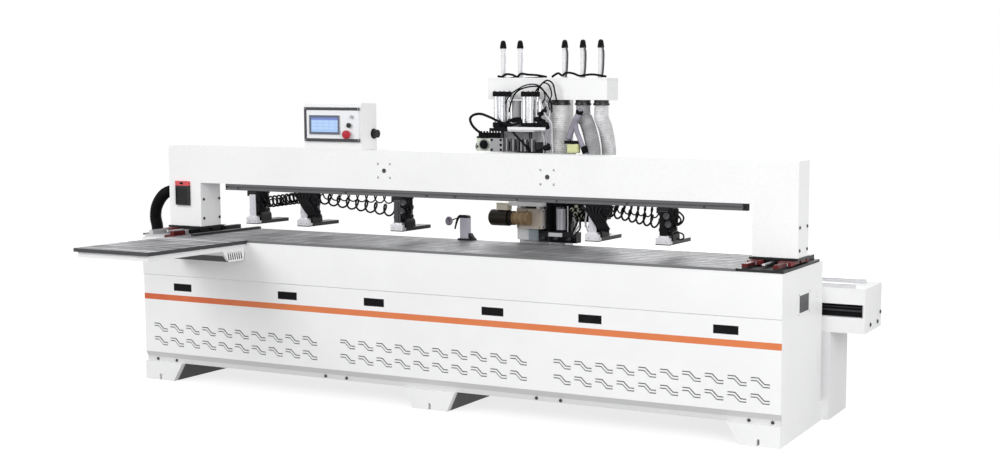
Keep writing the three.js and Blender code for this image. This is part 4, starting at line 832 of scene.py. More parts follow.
# Black recessed grips with a thin rim
GRIP_Z, GRIP_HALF, GRIP_RISE, RIM = 561, 66, 22, 4
rims, cups = [], []
for share in (0.0734, 0.2638, 0.4108, 0.5985, 0.742, 0.9276):
    x = share * BED_LENGTH
    left, right, low, high = x - GRIP_HALF, x + GRIP_HALF, GRIP_Z - GRIP_RISE, GRIP_Z + GRIP_RISE
    rims += [
        (left, right, 4.2, 8.8, low, low + RIM),
        (left, right, 4.2, 8.8, high - RIM, high),
        (left, left + RIM, 4.2, 8.8, low + RIM, high - RIM),
        (right - RIM, right, 4.2, 8.8, low + RIM, high - RIM),
    ]
    cups.append((left + RIM, right - RIM, 7.6, 8.9, low + RIM, high - RIM))
    cups.append((left + 3 * RIM, right - 3 * RIM, 6.2, 8, GRIP_Z - 3, GRIP_Z + 3))
piece("grip_rims", BLACK, ON_BED, rims, bevel=0.8)
piece("grip_cups", BLACK_RUBBER, ON_BED, cups, bevel=0.6)

# Bolts on the lower rail, the slatted inserts of the end recesses, and the screws round the right one
places = [(x, 20, 122) for x in (78, 220, 1294, 1436, 2636, 2778, 3813, 3935)]
studs("rail_bolts", DARK_STEEL, ON_BED, [(0, 0), (9, 0), (9, 2), (6.5, 3.5), (6.5, 6), (0, 6.5)], places, FRONT, 20)
spans = [(x, x + 3, 270.2, 424.8, 622.2, 709.8) for x in (1.5, 3975.5)]
spans += [(x, x + 3, 276, 419, 632 + i * 15.5, 638 + i * 15.5) for x in (1, 3976) for i in range(5)]
piece("side_window_inserts", WINDOW_STEEL, ON_BED, spans, bevel=0.8)
places = [(BED_LENGTH, y, z) for y, z in ((262, 716), (433, 716), (262, 616), (433, 616))]
turns = each([(0, 0), (4, 0), (4, 1), (2.5, 2), (0, 2)], places, RIGHT, 16)
places = [(BED_LENGTH, 560, z) for z in (690, 672, 640, 610)]
turns += each([(0, 0), (3, 0), (2.5, 1), (0, 1.4)], places, RIGHT, 14)
piece("side_screws", STEEL, ON_BED, turns=turns)

# The black cover strip with its chain rail in the rear beam's front groove, its black also painted shade for the
# groove's inside, and its end bolts
piece("groove_shade_strip", BLACK_RUBBER, ON_BEAM, [(-198, 4178, 712, 714.8, 554, 621)], bevel=0.5)
spans = [(-196, 4176, 700, 712, 583, 592), (-196, 4176, 704, 712, 603, 607)]
piece("groove_rail", DARK_STEEL, ON_BEAM, spans, bevel=1)
places = [(4200.3, y, z) for y, z in ((800, 506), (945, 503), (1000, 548))]
bolt = [(0, 0), (12, 0), (12, 1.5), (8, 1.5), (8, 5), (6, 5.8), (0, 5.8)]
studs("cap_bolts_right", DARK_STEEL, ON_BEAM, bolt, places, RIGHT, 16)


# Bridge

ON_BRIDGE, ON_BREAKER = ("gantry", "gantry_paint"), ("gantry", "breaker_plastic")
ON_CONTROL, ON_RAIL = ("gantry", "control_paint"), ("gantry", "rail_aluminium")
BEAM_FACE = 228
PANEL_FACE = 215.7

# Two groups of four bolts round a centre hole on the beam's front
BEAM_HOLES = ((1554, 1268), (2587, 1262))
places = [(x + dx, BEAM_FACE, z + dz) for x, z in BEAM_HOLES for dx in (-40, 40) for dz in (-38, 38)]
studs("beam_bolts", STEEL, ON_BRIDGE, [(0, 0), (6.5, 0), (6.5, 1.2), (4.5, 1.2), (4.5, 3), (0, 3.4)], places, FRONT, 20)
rim = [(0, 0), (13, 0), (13, 1.6), (9, 1.8), (9, 0.6), (0, 0.6)]
studs("beam_hole_rims", DARK_STEEL, ON_BRIDGE, rim, [(x, BEAM_FACE, z) for x, z in BEAM_HOLES], FRONT, 28)

# Screws on the left post's inner face and on the right one's outer face
POST_SCREW = [(0, 0), (9, 0), (9, 1.5), (6.5, 2.5), (6.5, 5), (0, 5.4)]
for side, x, depths, heights in (("left", 240, (252, 383), (948, 1062)), ("right", 3980, (252, 370), (937, 1051))):
    places = [(x, y, z) for y in depths for z in heights]
    studs(f"{side}_post_screws", DARK_STEEL, ON_BRIDGE, POST_SCREW, places, RIGHT, 18)

# Screws on the shoes before and behind the posts and on the tracks' rails, and the tracks' spindles
ON_SHOE, ON_TRACK = ("gantry", "shoe_steel"), ("bed", "track_steel")
TRACK_MIDDLES = (123.5, 3856.5)
RAIL_OFFSET = 80
places = [
    (middle + dx, y, 900.3)
    for middle in TRACK_MIDDLES for dx in (-101.5, -11.5, 11.5, 101.5) for y in (221.5, 399.5)
]
studs("shoe_screws", STEEL, ON_SHOE, socket_screw(4.2, 2.5, 2.2, 1), places, UP, 14)
rails = [middle + dx for middle in TRACK_MIDDLES for dx in (-RAIL_OFFSET, RAIL_OFFSET)]
places = [(x, 46 + i * 48, 886.3) for x in rails for i in range(12)]
screw = [(0, -0.6), (4.5, -0.6), (4.5, 0.15), (3.6, 0.15), (3.6, -0.2), (0, -0.2)]
studs("track_rail_screws", DARK_STEEL, ON_TRACK, screw, places, UP, 14)
spindle = [(0, 0), (10, 0), (10, 6), (8, 8), (8, 480), (10, 482), (10, 488), (0, 488)]
studs("track_spindles", STEEL, ON_TRACK, spindle, [(x, 70, 877) for x in TRACK_MIDDLES], BACK, 20)

# The control panel's screen, frame and rings, the knob's plate and the seam of the box
piece("screen_glass", screen_material(), ON_CONTROL, [(1073, 1256, 211, 212.4, 1478, 1560)], bevel=1)
strips = ((1021, 1403, 1601, 1618), (1021, 1403, 1425, 1442), (1021, 1038, 1442, 1601))
spans = [(x0, x1, PANEL_FACE - 1.6, PANEL_FACE, z0, z1) for x0, x1, z0, z1 in strips]
piece("panel_frame", DARK_STEEL, ON_CONTROL, spans, bevel=0.7)
buttons = ((1323, 1466, 29), (1335, 1518, 18), (1353, 1566, 14))
turns = [(ring(radius - 5, radius, -0.4, 0.6), (x, PANEL_FACE, z), FRONT, 36) for x, z, radius in buttons]
piece("button_rings", LIGHT_PAINT, ON_CONTROL, turns=turns)
places = [(x, PANEL_FACE - 1.6, z) for x in (1030, 1394) for z in (1433, 1610)]
studs("panel_screws", STEEL, ON_CONTROL, [(0, 0), (4, 0), (3.4, 1.6), (0, 2)], places, FRONT, 16)
plate = [(17, 0), (30, 0), (30, 1.2), (26, 1.6), (17, 1.6), (17, 0)]
studs("side_knob_plate", DARK_STEEL, ON_CONTROL, plate, [(1404, 345, 1471)], RIGHT, 36)
spans = [(1404, 1406, 236, 238, 1388, 1632), (1404.1, 1405.2, 240, 366, 1634, 1636)]
piece("control_box_seam", None, ON_CONTROL, spans, bevel=0.6)

spans = [(68, 148, 213.5, 217, z, z + 6) for z in range(1036, 1127, 13)]
piece("breaker_slats", BLACK, ON_BREAKER, spans, bevel=1)
piece("breaker_window", BLACK_RUBBER, ON_BREAKER, [(96, 120, 209.5, 212, 1150, 1162)], bevel=1)

spans = [(x, x + 4, 231, 273, 1124.5, 1161.5) for x in (3705, 426)]
piece("rail_end_caps", BLACK, ON_RAIL, spans, bevel=1.2)
places = [(x, 232, 1137) for x in (520, 1290, 1830, 2010, 2400, 2640, 3050, 3480)]
studs("rail_screws", DARK_STEEL, ON_RAIL, socket_screw(5, 4, 2.8, 2), places, FRONT, 12)

# Hangers, guide plates, foot blocks and fittings round each clamping cylinder
ON_PRESS = ("gantry", "press_body")
PRESS_PLATES = (PRESS_PLATE, PRESS_PLATE, DARK_STEEL, PRESS_PLATE, BLACK_RUBBER)
CLEVIS = (
    (((2, 953), (44, 953), (42, 985), (34, 999.5), (2, 999.5)), 88),
    (((-34, 953), (-4, 953), (-4, 975), (-26, 970)), 80),
)
ELBOW = [(0, 0), (8, 0), (8, 6), (6, 7), (6, 12), (8, 13), (8, 20), (0, 21)]
for n, (x, plate) in enumerate(zip(PRESS_X, PRESS_PLATES), 1):
    on_foot = (f"clamp_{n}", "press_pad")
    spans = [(x - 36, x + 30, 236, 352, 1110, 1125), (x - 42, x - 25.5, 238, 268, 1094, 1124)]
    piece(f"press_hanger_{n}", BLACK, ON_PRESS, spans, bevel=1.5)
    spans = [(x - 22, x + 22, 233.5, 239.5, 978, 1104), (x - 9, x + 9, 231.5, 234, 985, 1098)]
    piece(f"press_front_plate_{n}", plate, on_foot, spans, bevel=1.2)
    turns = each(socket_screw(5, 4, 2.6, 2), [(x + dx, 224.9, 951) for dx in (-20, 20)], FRONT, 14)
    turns += each(rod(5, 4, 0.5), [(x + dx, 240, 979) for dx in (-18, 18)], UP, 12)
    piece(f"press_foot_block_{n}", None, on_foot, [(x - 30, x + 30, 231, 262, 969, 979)], turns, bevel=1)
    prisms = [([(x + dx, 262, z) for dx, z in outline], depth, BACK) for outline, depth in CLEVIS]
    piece(f"press_foot_clevis_{n}", BLACK, on_foot, prisms=prisms, bevel=2)
    turns = each(ELBOW, [(x + 25.3, 262, z) for z in (1036, 1084)], RIGHT, 16)
    turns.append(([(0, 0), (14, 0), (16, 2), (16, 9), (12, 11), (0, 11)], (x + 25.3, 330, 1062), RIGHT, 24))
    turns.append(([(0, 0), (9, 0), (9, 12), (6, 14), (0, 14)], (x + 38, 262, 1092), UP, 14))
    piece(f"press_fittings_{n}", BLACK, ON_PRESS, turns=turns)

# Wipers before the carriages, covers under the shoes and a scale strip beside the left track


def straddle(x):
    """The boxes of the two wipers over the rail at x, each open below for the rail."""
    spans = []
    for y0, y1 in ((152, 215), (406, 440)):
        spans.append((x - 34, x - 14.8, y0, y1, 868.5, 888))
        spans.append((x + 14.8, x + 34, y0, y1, 868.5, 888))
        spans.append((x - 15, x + 15, y0 + 1, y1 - 1, 886.8, 887.8))
    return spans


left_outer, left_inner, *right_rails = rails
for side, middle, red_rails in (("left", TRACK_MIDDLES[0], [left_outer]), ("right", TRACK_MIDDLES[1], right_rails)):
    spans = [span for x in red_rails for span in straddle(x)]
    piece(f"slide_wipers_{side}", DARK_RED, ON_SHOE, spans, bevel=2)
    spans = [(x - 20, x + 20, 141, 151.5, 869.5, 885) for x in red_rails]
    piece(f"slide_wiper_lips_{side}", STEEL, ON_SHOE, spans, bevel=1)
    spans = [(middle - 42, middle + 42, 218, 402, 868, 887.9)]
    piece(f"slide_cover_{side}", BLACK_RUBBER, ON_SHOE, spans, bevel=2)
# The inner rail's wipers at the left foot are black: painted shade, as shaded copies of the red ones.
piece("slide_wipers_inner_shaded", BLACK_RUBBER, ON_SHOE, straddle(left_inner), bevel=2)
piece("scale_strip", DARK_STEEL, ON_TRACK, [(330, 356, 40, 617, 862.4, 876)], bevel=0.8)

# The slanted hose arms in front of the second and fourth units, and valves on the others
ARMS = (
    (2, ((-76, 1124), (112, 1124), (110, 1102), (84, 1062), (124, 1030), (124, 988), (52, 991), (22, 1028),
         (-22, 1082))),
    (4, ((-34, 1124), (132, 1124), (120, 1102), (78, 1058), (96, 1010), (104, 984), (58, 990), (26, 1010),
         (-4, 1060))),
)
# Five hoses over each arm: every point's x, its share of their spacing, y and z.
ARM_CURVE = ((-50, 1.7, 219, 1116), (-18, 1, 212, 1088), (8, 1, 210, 1056), (34, 0.9, 211, 1022), (52, 0.8, 218, 1000))
ARM_LOOP = ((80, 224, 1112), (104, 220, 1106), (118, 220, 1088), (104, 220, 1070), (82, 222, 1074))
for n, outline in ARMS:
    x = PRESS_X[n - 1]
    prisms = [([(x + dx, 218, z) for dx, z in outline], 11, BACK)]
    spans = [(x + 30, x + 96, 229, 262, 1100, 1124)]
    piece(f"press_arm_{n}", BLACK_RUBBER, ON_PRESS, spans, prisms=prisms, bevel=3)
    lines = [(6.5, [(x + dx + 17 * k * share, y, z) for dx, share, y, z in ARM_CURVE]) for k in range(5)]
    piece(f"press_arm_hoses_{n}", None, ON_COIL, lines=[*lines, (6, shifted(x, ARM_LOOP))])
for n in (1, 3, 5):
    x = PRESS_X[n - 1]
    spans = [(x + 26, x + 58, 232, 300, 1062, 1118), (x + 26, x + 50, 236, 290, 1004, 1052)]
    turns = [([(0, 0), (12, 0), (12, 12), (8, 15), (8, 24), (0, 24)], (x + 42, 250, 1062), DOWN, 20)]
    piece(f"press_valves_{n}", BLACK_RUBBER, ON_PRESS, spans, turns, bevel=3)
CURLS = (
    ((56, 240, 1110), (84, 240, 1104), (108, 242, 1080), (98, 246, 1052), (72, 250, 1036), (56, 256, 1046)),
    ((50, 244, 1092), (78, 244, 1084), (92, 246, 1062), (76, 250, 1044), (50, 256, 1030)),
)
FOOT_CURL = ((44, 262, 990), (70, 258, 998), (96, 260, 992), (102, 262, 974), (84, 266, 962), (60, 270, 966))
lines = [(4.5, shifted(PRESS_X[4], points)) for points in CURLS]
piece("press_curls", BLACK_RUBBER, ON_COIL, lines=lines)
lines = [(4, shifted(PRESS_X[4], FOOT_CURL))]
piece("press_foot_curl", BLACK_RUBBER, ("clamp_5", "press_pad"), lines=lines)

# A second, thinner coil behind each of the three coil hoses
for i, ((x0, z0), (x1, z1), curls, radius) in enumerate(SECOND_COILS):
    first, last = Vector((x0, SECOND_COIL_Y, z0)), Vector((x1, SECOND_COIL_Y, z1))
    line = coil(first, last, 12, radius, curls, 0.1, 24, phase=2)
    tube(f"second_coil_{i + 1}", None, ON_COIL, line, 4, 8)


# Head

ON_MANIFOLD, ON_DECK = ("head", "manifold_paint"), ("feed", "feed_paint")
ON_CYLINDER, ON_AIR_UNIT = ("feed", "cylinder_metal"), ("feed", "air_unit_plastic")
ON_BRANCH, ON_SLIDE = ("head", "dust_hose_plastic"), ("lift", "lift_steel")
ON_MOTOR, ON_BLOCK = ("lift", "motor_paint"), ("lift", "block_paint")
GATE_X = (1968, 2081, 2372, 2488, 2601)
CYLINDER_X = (2036, 2221)

# Gate cylinders on the dust manifold: cone caps, banded bodies, air lines and the cables between them
cap = [(0, 0), (18, 0), (19, 2), (19, 9), (14.5, 36), (11, 43), (6, 46.5), (0, 47)]
studs("gate_caps", BLACK_RUBBER, ON_MANIFOLD, cap, [(x, DUST_Y, 1966) for x in GATE_X], UP, 24)
body = [(0, 0.2), (18, 0.2), (18, 5), (14, 8)]
for z in (40, 84, 128):
    body += [(13.5, z), (15, z + 1.5), (15, z + 6), (13.5, z + 7.5)]
body += [(13.5, 160), (16, 162), (16, 170.8), (0, 170.8)]
studs("gate_bodies", LIGHT_PAINT, ON_MANIFOLD, body, [(x, DUST_Y, 1795) for x in GATE_X], UP, 24)
AIR_LINE = ((8, 822, 1976), (19, 818, 1962), (25, 816, 1935), (24, 816, 1880), (21, 815, 1830), (16, 812, 1801))
THIN_LINE = ((14, 826, 1960), (19, 822, 1900), (17, 818, 1850), (26, 808, 1822), (34, 803, 1808))
piece("gate_air_lines", DARK_STEEL, ON_MANIFOLD, lines=[(5, shifted(x, AIR_LINE)) for x in GATE_X[2:]])
piece("gate_thin_lines", CLEAR_GREY, ON_MANIFOLD, lines=[(3, shifted(x, THIN_LINE)) for x in GATE_X[:2]])
left = (
    (1950, 1806), (1978, 1803), (2004, 1817), (2046, 1814), (2078, 1803), (2104, 1820), (2150, 1815),
    (2205, 1812), (2270, 1802),
)
right = (
    (2306, 1802), (2344, 1822), (2372, 1810), (2398, 1825), (2442, 1821), (2482, 1808), (2520, 1812),
    (2570, 1815), (2650, 1804),
)
lines = [(6.5, [(x, 799, z) for x, z in cable]) for cable in (left, right)]
lines.append((4.5, [(x, 788, 1803 - (z - 1802) * 0.6) for x, z in left[1:]]))
piece("manifold_cables", BLACK_RUBBER, ON_MANIFOLD, lines=lines)
turns = []
for x, radius in ((2345, 55), (2490, 44), (2606, 44)):
    turns.append((ring(radius - 1, radius + 3, 0, 12), (x, DUST_Y, 1642), UP, 40))
    turns.append((rod(5, 14), (x + 8, DUST_Y - radius - 6, 1648), RIGHT, 12))
piece("hose_clamps", DARK_STEEL, ON_MANIFOLD, turns=turns)
spans = [(1905, 2677, 758.6, 760, 1786, 1796), (2675, 2676.6, 758.6, 901, 1786, 1796)]
piece("manifold_lid_edge", None, ON_MANIFOLD, spans, bevel=0.6)

# Square caps, tie rods and fittings on the two lifting cylinders, a third one behind, and the deck's trim
spans, turns, rods = [], [], []
for x in CYLINDER_X:
    for z in (1512, 1688):
        spans.append((x - 40, x + 40, 660, 740, z, z + 28))
        turns.append(([(0, 0), (7, 0), (7, 9), (5, 11), (0, 11)], (x + 12, 660, z + 14), FRONT, 14))
    for dx in (-31, 31):
        for y in (669, 731):
            rods.append((rod(4.5, 148), (x + dx, y, 1540), UP, 14))
            rods.append((rod(6, 5, 1), (x + dx, y, 1716), UP, 6))
piece("lift_cylinder_caps", BLACK_RUBBER, ON_CYLINDER, spans, turns, bevel=2)
piece("lift_cylinder_rods", STEEL, ON_CYLINDER, turns=rods)
body = [(0, 0), (29, 0), (29, 12), (27, 14), (27, 148), (29, 150), (29, 160), (0, 160)]
piece("rear_cylinder", GREY_PAINT, ON_CYLINDER, turns=[(body, (2116, 727, 1506.2), UP, 32)])
piece("deck_front", LIGHT_PAINT, ON_DECK, [(2104, 2345, 640, 652, 1499, 1516)], bevel=1.5)
spans = [
    (2078, 2182, 690, 716, 1542, 1560), (2272, 2296, 662, 700, 1510, 1532), (1985, 2104, 640, 646, 1490, 1508)
]
piece("deck_brackets", BLACK_RUBBER, ON_DECK, spans, bevel=2)

# Air hoses that loop between the valves, the cylinders and the manifold
lines = [
    (7.5, [(1900, 700, 1474), (1878, 680, 1494), (1857, 662, 1525), (1852, 652, 1560), (1880, 648, 1582),
           (1928, 648, 1587), (1990, 647, 1568), (2060, 645, 1541), (2110, 646, 1528), (2150, 648, 1530),
           (2190, 650, 1546)]),
    (6, [(2072, 650, 1528), (2106, 648, 1548), (2146, 650, 1564), (2182, 662, 1566)]),
    (4.5, [(2086, 690, 1600), (2104, 688, 1660), (2134, 688, 1711), (2191, 688, 1738), (2272, 690, 1745),
           (2318, 694, 1712), (2352, 700, 1656), (2356, 706, 1600)]),
    (3.8, [(2074, 672, 1648), (2096, 676, 1690), (2140, 680, 1724), (2200, 684, 1752), (2262, 690, 1756),
           (2300, 700, 1730), (2312, 705, 1684), (2290, 705, 1640), (2306, 705, 1596)]),
    (4.5, [(2258, 716, 1716), (2276, 718, 1752), (2316, 720, 1780), (2352, 722, 1762), (2366, 724, 1710),
           (2372, 735, 1656)]),
    (3.8, [(2250, 706, 1716), (2270, 708, 1742), (2300, 710, 1766), (2334, 712, 1752), (2348, 716, 1700),
           (2330, 716, 1650), (2340, 712, 1612)]),
    (5.5, [(2124, 650, 1500), (2150, 652, 1470), (2196, 652, 1430), (2232, 654, 1388), (2240, 654, 1352)]),
]
piece("head_air_hoses", BLACK_RUBBER, ON_DECK, lines=lines)
lines = [
    (4.5, [(2300, 716, 1668), (2322, 716, 1640), (2338, 714, 1598), (2330, 712, 1556), (2342, 712, 1516),
           (2346, 716, 1440), (2340, 716, 1360)]),
    (4.5, [(2284, 700, 1668), (2300, 700, 1622), (2318, 702, 1580), (2352, 704, 1540), (2356, 706, 1470),
           (2360, 706, 1360)]),
    (4, [(2276, 716, 1500), (2292, 716, 1470), (2300, 716, 1430), (2296, 716, 1360)]),
]
piece("head_clear_hoses", CLEAR_GREY, ON_DECK, lines=lines)
ELBOWS = ((2276, 1560, 15), (2300, 1536, 18), (2322, 1520, 17), (2292, 1592, 11), (2312, 1608, 9), (2330, 1400, 16))
turns = []
for x, z, r in ELBOWS:
    elbow = [(0, 0), (r, 0), (r, 10), (r * 0.75, 13), (r * 0.75, 24), (r, 27), (r, 36), (0, 37)]
    turns.append((elbow, (x, 712, z), FRONT, 20))
    turns.append((rod(r * 0.6, 26, 2), (x, 694, z), (0.5, 0, 1), 16))
piece("head_elbows", BLACK_RUBBER, ON_DECK, turns=turns)

# The valve bank's coils, the regulator's knobs, and the panel and ribs in front of the lifting slide
REGULATOR = (1894, 735, 1410)
valves = [1862 + i * 19.5 for i in range(7)]
turns = each(rod(5.5, 8, 1), [(x + 7.5, 745, 1480) for x in valves], UP, 12)
piece("valve_coils", BLACK_RUBBER, ON_AIR_UNIT, [(x, x + 15, 728, 736, 1447, 1479) for x in valves], turns, bevel=1.5)
turns = [
    ([(0, 0), (25, 0), (25, 10), (21, 13), (0, 14)], REGULATOR, FRONT, 28),
    ([(0, 0), (18, 0), (20, 3), (20, 9), (13, 12), (0, 12)], (1843, 752, 1398), (-0.6, -0.8, 0), 24),
]
piece("regulator_knobs", BLACK_RUBBER, ON_AIR_UNIT, [(1840, 1846, 745, 760, 1376, 1420)], turns)
piece("regulator_ring", GREY_PAINT, ON_AIR_UNIT, turns=[(ring(26, 34, 0, 3), REGULATOR, FRONT, 28)])
piece("slide_front_panel", GREY_PAINT, ON_SLIDE, [(1978, 2064, 660, 669.8, 1372, 1450)], bevel=2)
RIBS = (
    (2066, 24), (2094, 9), (2108, 22), (2136, 10), (2151, 16), (2173, 8), (2188, 20), (2214, 10), (2229, 22), (2257, 14)
)
spans = [(2018, 2276, 664, 669.9, 1384, 1389.5)]
for i, (x, width) in enumerate(RIBS):
    spans.append((x, x + width, 658 + 3 * (i % 3), 669.8, 1376, 1452 - 6 * (i % 2)))
piece("slide_front_ribs", DARK_STEEL, ON_SLIDE, spans, bevel=1.5)
spans = [(x, x + 7, 654, 669.8, 1378, 1450) for x in (2086, 2129, 2181, 2207, 2251)]
piece("slide_front_rods", GREY_PAINT, ON_SLIDE, spans, bevel=0.6)
places = [(x, 660, z) for x, z in ((2050, 1440), (2050, 1412), (2050, 1384), (1990, 1440), (1990, 1384))]
studs("slide_panel_bolts", BLACK_RUBBER, ON_SLIDE, [(0, 0), (7, 0), (7, 4), (4, 5), (0, 5)], places, FRONT, 16)

# A forked branch beside the middle dust hose, with its green valve
lines = [
    (17, [(2507, 772, 1612), (2497, 750, 1584), (2468, 745, 1520), (2441, 745, 1448)]),
    (14, [(2484, 747, 1545), (2492, 745, 1500), (2518, 745, 1440), (2546, 747, 1370), (2556, 760, 1300),
          (2552, 780, 1240)]),
    (15, [(2470, 745, 1376), (2474, 745, 1310), (2494, 762, 1250), (2520, 780, 1200)]),
]
piece("branch_hoses", BRANCH_GREY, ON_BRANCH, lines=lines, sides=20)
turns = [
    ([(0, 0), (21, 0), (21, 16), (18, 18), (0, 18)], (2503, 756, 1594), (0.3, -0.3, 1), 24),
    (rod(18, 40, 2), (2548, 748, 1372), (-0.36, 0, 1), 24),
]
piece("branch_fittings", BLACK_RUBBER, ON_BRANCH, [(2424, 2500, 722, 768, 1424, 1442)], turns, bevel=2)
piece("branch_valve", GREEN_PLASTIC, ON_BRANCH, [(2440, 2508, 725, 765, 1372, 1424)], bevel=5)

# What is seen of the drilling unit under the bridge's beam
spans = [
    (2105, 2321, 650, 751.5, 1067, 1090), (2138, 2160, 690, 751.5, 1050.2, 1067),
    (2262, 2284, 690, 751.5, 1050.2, 1067),
]
piece("unit_shelf", MATERIALS["beam_paint"], ON_MOTOR, spans, bevel=2)
spans = [(2036, 2104, 630, 690, 1041, 1079), (2033, 2107, 627, 693, 1079, 1083)]
piece("motor_terminal_box", BEIGE, ON_MOTOR, spans, bevel=3)
spans = [
    (2322, 2343, 702, 751.5, 925.2, 1096), (2262.5, 2281.5, 716, 750, 866, 933),
    (2440, 2447, 712, 734, 925.2, 1086), (2458, 2464, 712, 734, 925.2, 1086),
    (2468, 2578, 724, 734.5, 985, 1088), (2356, 2516, 682, 689.8, 866, 897),
]
piece("unit_black_plates", BLACK_RUBBER, ON_BLOCK, spans, bevel=1.5)
spans = [(2346, 2433, 680, 689.7, 898, 920), (2448, 2457, 714, 734, 925.2, 1072)]
piece("unit_light_plates", LIGHT_PAINT, ON_BLOCK, spans, bevel=1.5)
SPINDLE_X, SPINDLE_Y = 2401, 752
turns = [
    ([(0, 0), (34, 0), (35, 2), (35, 24), (32, 27), (0, 27)], (SPINDLE_X, SPINDLE_Y, 1068.3), UP, 36),
    (ring(34.2, 36, 0, 8), (SPINDLE_X, SPINDLE_Y, 926), UP, 36),
]
piece("spindle_motor_cap", BLACK_RUBBER, ON_BLOCK, turns=turns)
turns = []
for i in range(9):
    angle = math.radians(150 + i * 30)
    x, y = SPINDLE_X + 35.2 * math.cos(angle), SPINDLE_Y + 35.2 * math.sin(angle)
    if y < 750.5:
        turns.append((rod(1.6, 132), (x, y, 931), UP, 8))
piece("spindle_motor_ribs", STEEL, ON_BLOCK, turns=turns)
FITTINGS = (
    (2478, 1052, 12), (2500, 1026, 14), (2527, 1048, 12), (2552, 1068, 10), (2486, 998, 12), (2518, 1000, 10),
    (2548, 1018, 13), (2566, 1044, 9), (2508, 1070, 9),
)
turns = []
for i, (x, z, r) in enumerate(FITTINGS):
    profile = [(0, 0), (r, 0), (r, 12), (r * 0.62, 14), (r * 0.62, 8), (0, 8)]
    turns.append((profile, (x, 724 - 2 * (i % 3), z), (0.25 * (i % 2), -1, 0.15 * (i % 3)), 20))
piece("unit_fittings", FITTING, ON_BLOCK, turns=turns)
lines = [
    (5.5, [(2478, 712, 1052), (2480, 690, 1040), (2492, 684, 1012), (2486, 690, 985), (2470, 700, 960),
           (2462, 716, 935)]),
    (5.5, [(2500, 712, 1026), (2516, 690, 1030), (2530, 686, 1004), (2520, 690, 970), (2500, 700, 940),
           (2486, 716, 924)]),
    (5, [(2552, 712, 1068), (2566, 696, 1056), (2560, 690, 1020), (2544, 694, 988), (2536, 704, 950),
         (2510, 716, 924)]),
    (5, [(2527, 712, 1048), (2542, 694, 1060), (2562, 692, 1040), (2572, 700, 1000), (2566, 716, 960)]),
]
piece("unit_hoses", BLACK_RUBBER, ON_BLOCK, lines=lines)
lines = [
    (5, [(2530, 712, 990), (2536, 696, 968), (2520, 690, 944), (2504, 694, 920), (2500, 716, 905)]),
    (4.5, [(2486, 712, 998), (2498, 694, 1008), (2512, 690, 990), (2506, 700, 962)]),
    (5, [(2560, 712, 1080), (2578, 700, 1040), (2574, 696, 985), (2590, 706, 930), (2604, 720, 905)]),
]
piece("unit_clear_hoses", CLEAR_GREY, ON_BLOCK, lines=lines)
studs("motor_fins", None, ON_MOTOR, ring(39.2, 41, 0, 4), [(2112 + i * 6, 660, 996) for i in range(5)], RIGHT, 40)
case_bolt = rod(5, 4, 1)
turns = each(case_bolt, [(2300, y, z) for y, z in ((700, 1038), (740, 1038), (700, 948), (740, 948))], RIGHT, 12)
places = [(x, 685, z) for x, z in ((2208, 1040), (2288, 1040), (2288, 947), (2150, 947))]
piece("gear_case_bolts", STEEL, ON_MOTOR, turns=turns + each(case_bolt, places, FRONT, 12))

# The stop's air line with its coupling, each with a mesh of its own
ON_STOP = ("stop", "stop_metal")
bm = bmesh.new()
path = smooth_path([(1828, 588, 1000), (1814, 586, 996), (1804, 584, 978), (1796, 582, 952), (1789, 581, 924)], 8)
add_tube(bm, path, [9 - 4.5 * i / (len(path) - 1) for i in range(len(path))], 12)
add_tube(bm, smooth_path([(1808, 585, 986), (1790, 585, 984), (1765, 585, 972)], 8), 3.5, 10)
air_line = finish_piece("stop_air_line", bm, BLACK_RUBBER, ON_STOP)
profile = [(0, 0), (16, 0), (18, 3), (25, 6), (26, 9), (26, 15), (22, 18), (15, 18), (14, 12), (0, 12)]
turns = [(profile, (1750, 594, 968), (-0.2, -1, 0.1), 28)]
coupling = piece("stop_air_coupling", STOP_LILAC, ON_STOP, turns=turns)
for soft in (air_line, coupling):
    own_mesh(soft)

# Short air hoses looping beside the clamping units, and their gauges
LOOPS = (
    ((46, 262, 1084), (60, 268, 1074), (58, 280, 1046), (47, 290, 1030), (36, 300, 1040), (26, 312, 1052)),
    ((46, 262, 1036), (56, 275, 1046), (52, 300, 1078), (40, 320, 1104), (30, 330, 1113)),
    ((40, 250, 1118), (62, 246, 1100), (50, 244, 1070), (66, 246, 1040), (44, 250, 1018)),
)
lines = [(4, shifted(x, loop)) for x in PRESS_X for loop in LOOPS]
piece("press_air_hoses", None, ON_COIL, lines=lines, sides=8, steps=8)
gauge = [(0, 0), (19, 0), (19, 7), (16, 9), (14, 9), (14, 7.5), (0, 7.5)]
GAUGES = ((PRESS_X[2], 46, 1094), (PRESS_X[2], 36, 1047), (PRESS_X[4], 20, 1082), (PRESS_X[4], 30, 1040))
studs("press_gauges", DARK_STEEL, ON_PRESS, gauge, [(x + dx, 230.5, z) for x, dx, z in GAUGES], FRONT, 28)


# Stage

# Half the floor's width and its drop under the feet, in metres
FLOOR_HALF, FLOOR_DROP = 60, 0.0005
FLOOR_GLOW, FLOOR_SHADE = 0.785, 0.33
WORLD_LIGHT = 0.67
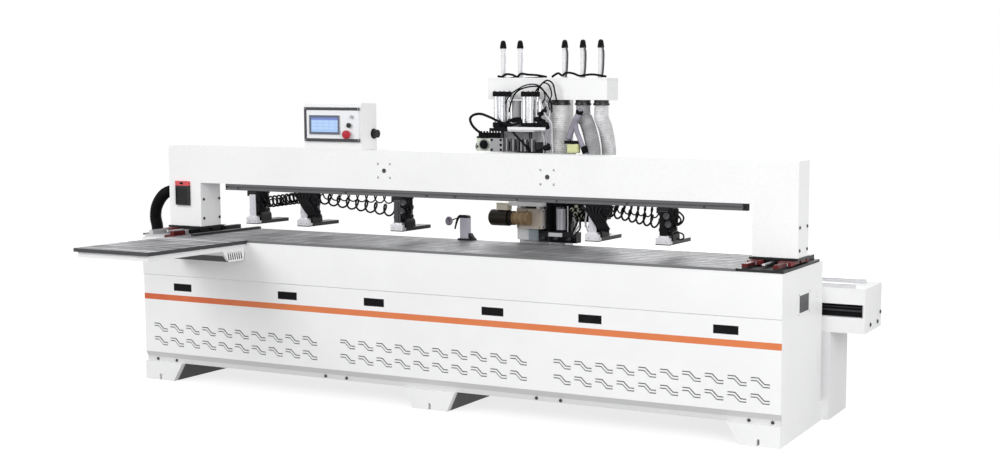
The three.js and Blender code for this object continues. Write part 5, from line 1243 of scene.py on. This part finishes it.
# Name, watts, size in metres, place and target
LAMPS = (
    ("key", 285, 4, (-2600, -6200, 4600), (1500, 300, 700)),
    ("fill", 310, 5, (8300, -4300, 2500), (2600, 300, 700)),
    ("back", 230, 5, (-600, 8200, 4200), (1900, 700, 700)),
)


def lit(tree, low, high):
    """A number that is low for the light on the machine and high for what is seen directly."""
    rays = tree.add("LightPath").outputs
    seen = rays["Is Camera Ray"]
    for kind in ("Is Glossy Ray", "Is Transmission Ray"):
        seen = tree.math("MAXIMUM", seen, rays[kind])
    return tree.ranged(seen, low, high)


def make_floor():
    mesh = bpy.data.meshes.new("floor")
    corners = [(x * FLOOR_HALF, y * FLOOR_HALF, 0) for x, y in ((-1, -1), (1, -1), (1, 1), (-1, 1))]
    mesh.from_pydata(corners, [], [(0, 1, 2, 3)])
    floor = new_object("floor", mesh)
    floor.location.z = -FLOOR_DROP
    material = bpy.data.materials.new("floor")
    material.use_nodes = True
    material.node_tree.nodes.clear()
    tree = Tree(material.node_tree)
    glow = tree.add("Emission", {"Strength": lit(tree, 0, FLOOR_GLOW)})
    diffuse = tree.add("BsdfDiffuse", {"Color": (FLOOR_SHADE, FLOOR_SHADE, FLOOR_SHADE)})
    both = tree.add("AddShader", {0: glow.outputs[0], 1: diffuse.outputs[0]})
    tree.add("OutputMaterial", {"Surface": both.outputs[0]})
    mesh.materials.append(material)


def make_lights():
    world = bpy.data.worlds.new("studio")
    bpy.context.scene.world = world
    world.use_nodes = True
    tree = Tree(world.node_tree)
    tree.fill(world.node_tree.nodes["Background"], {"Color": (1, 1, 1), "Strength": lit(tree, WORLD_LIGHT, 1)})
    for name, power, size, place, target in LAMPS:
        data = bpy.data.lights.new(name, "AREA")
        data.energy = power
        data.size = size
        light = new_object(name, data)
        light.location = at(*place)
        light.rotation_mode = "QUATERNION"
        light.rotation_quaternion = (at(*target) - at(*place)).to_track_quat("-Z", "Y")
    bpy.context.scene.view_settings.view_transform = "Standard"
    bpy.context.scene.view_settings.look = "None"


make_floor()
make_lights()
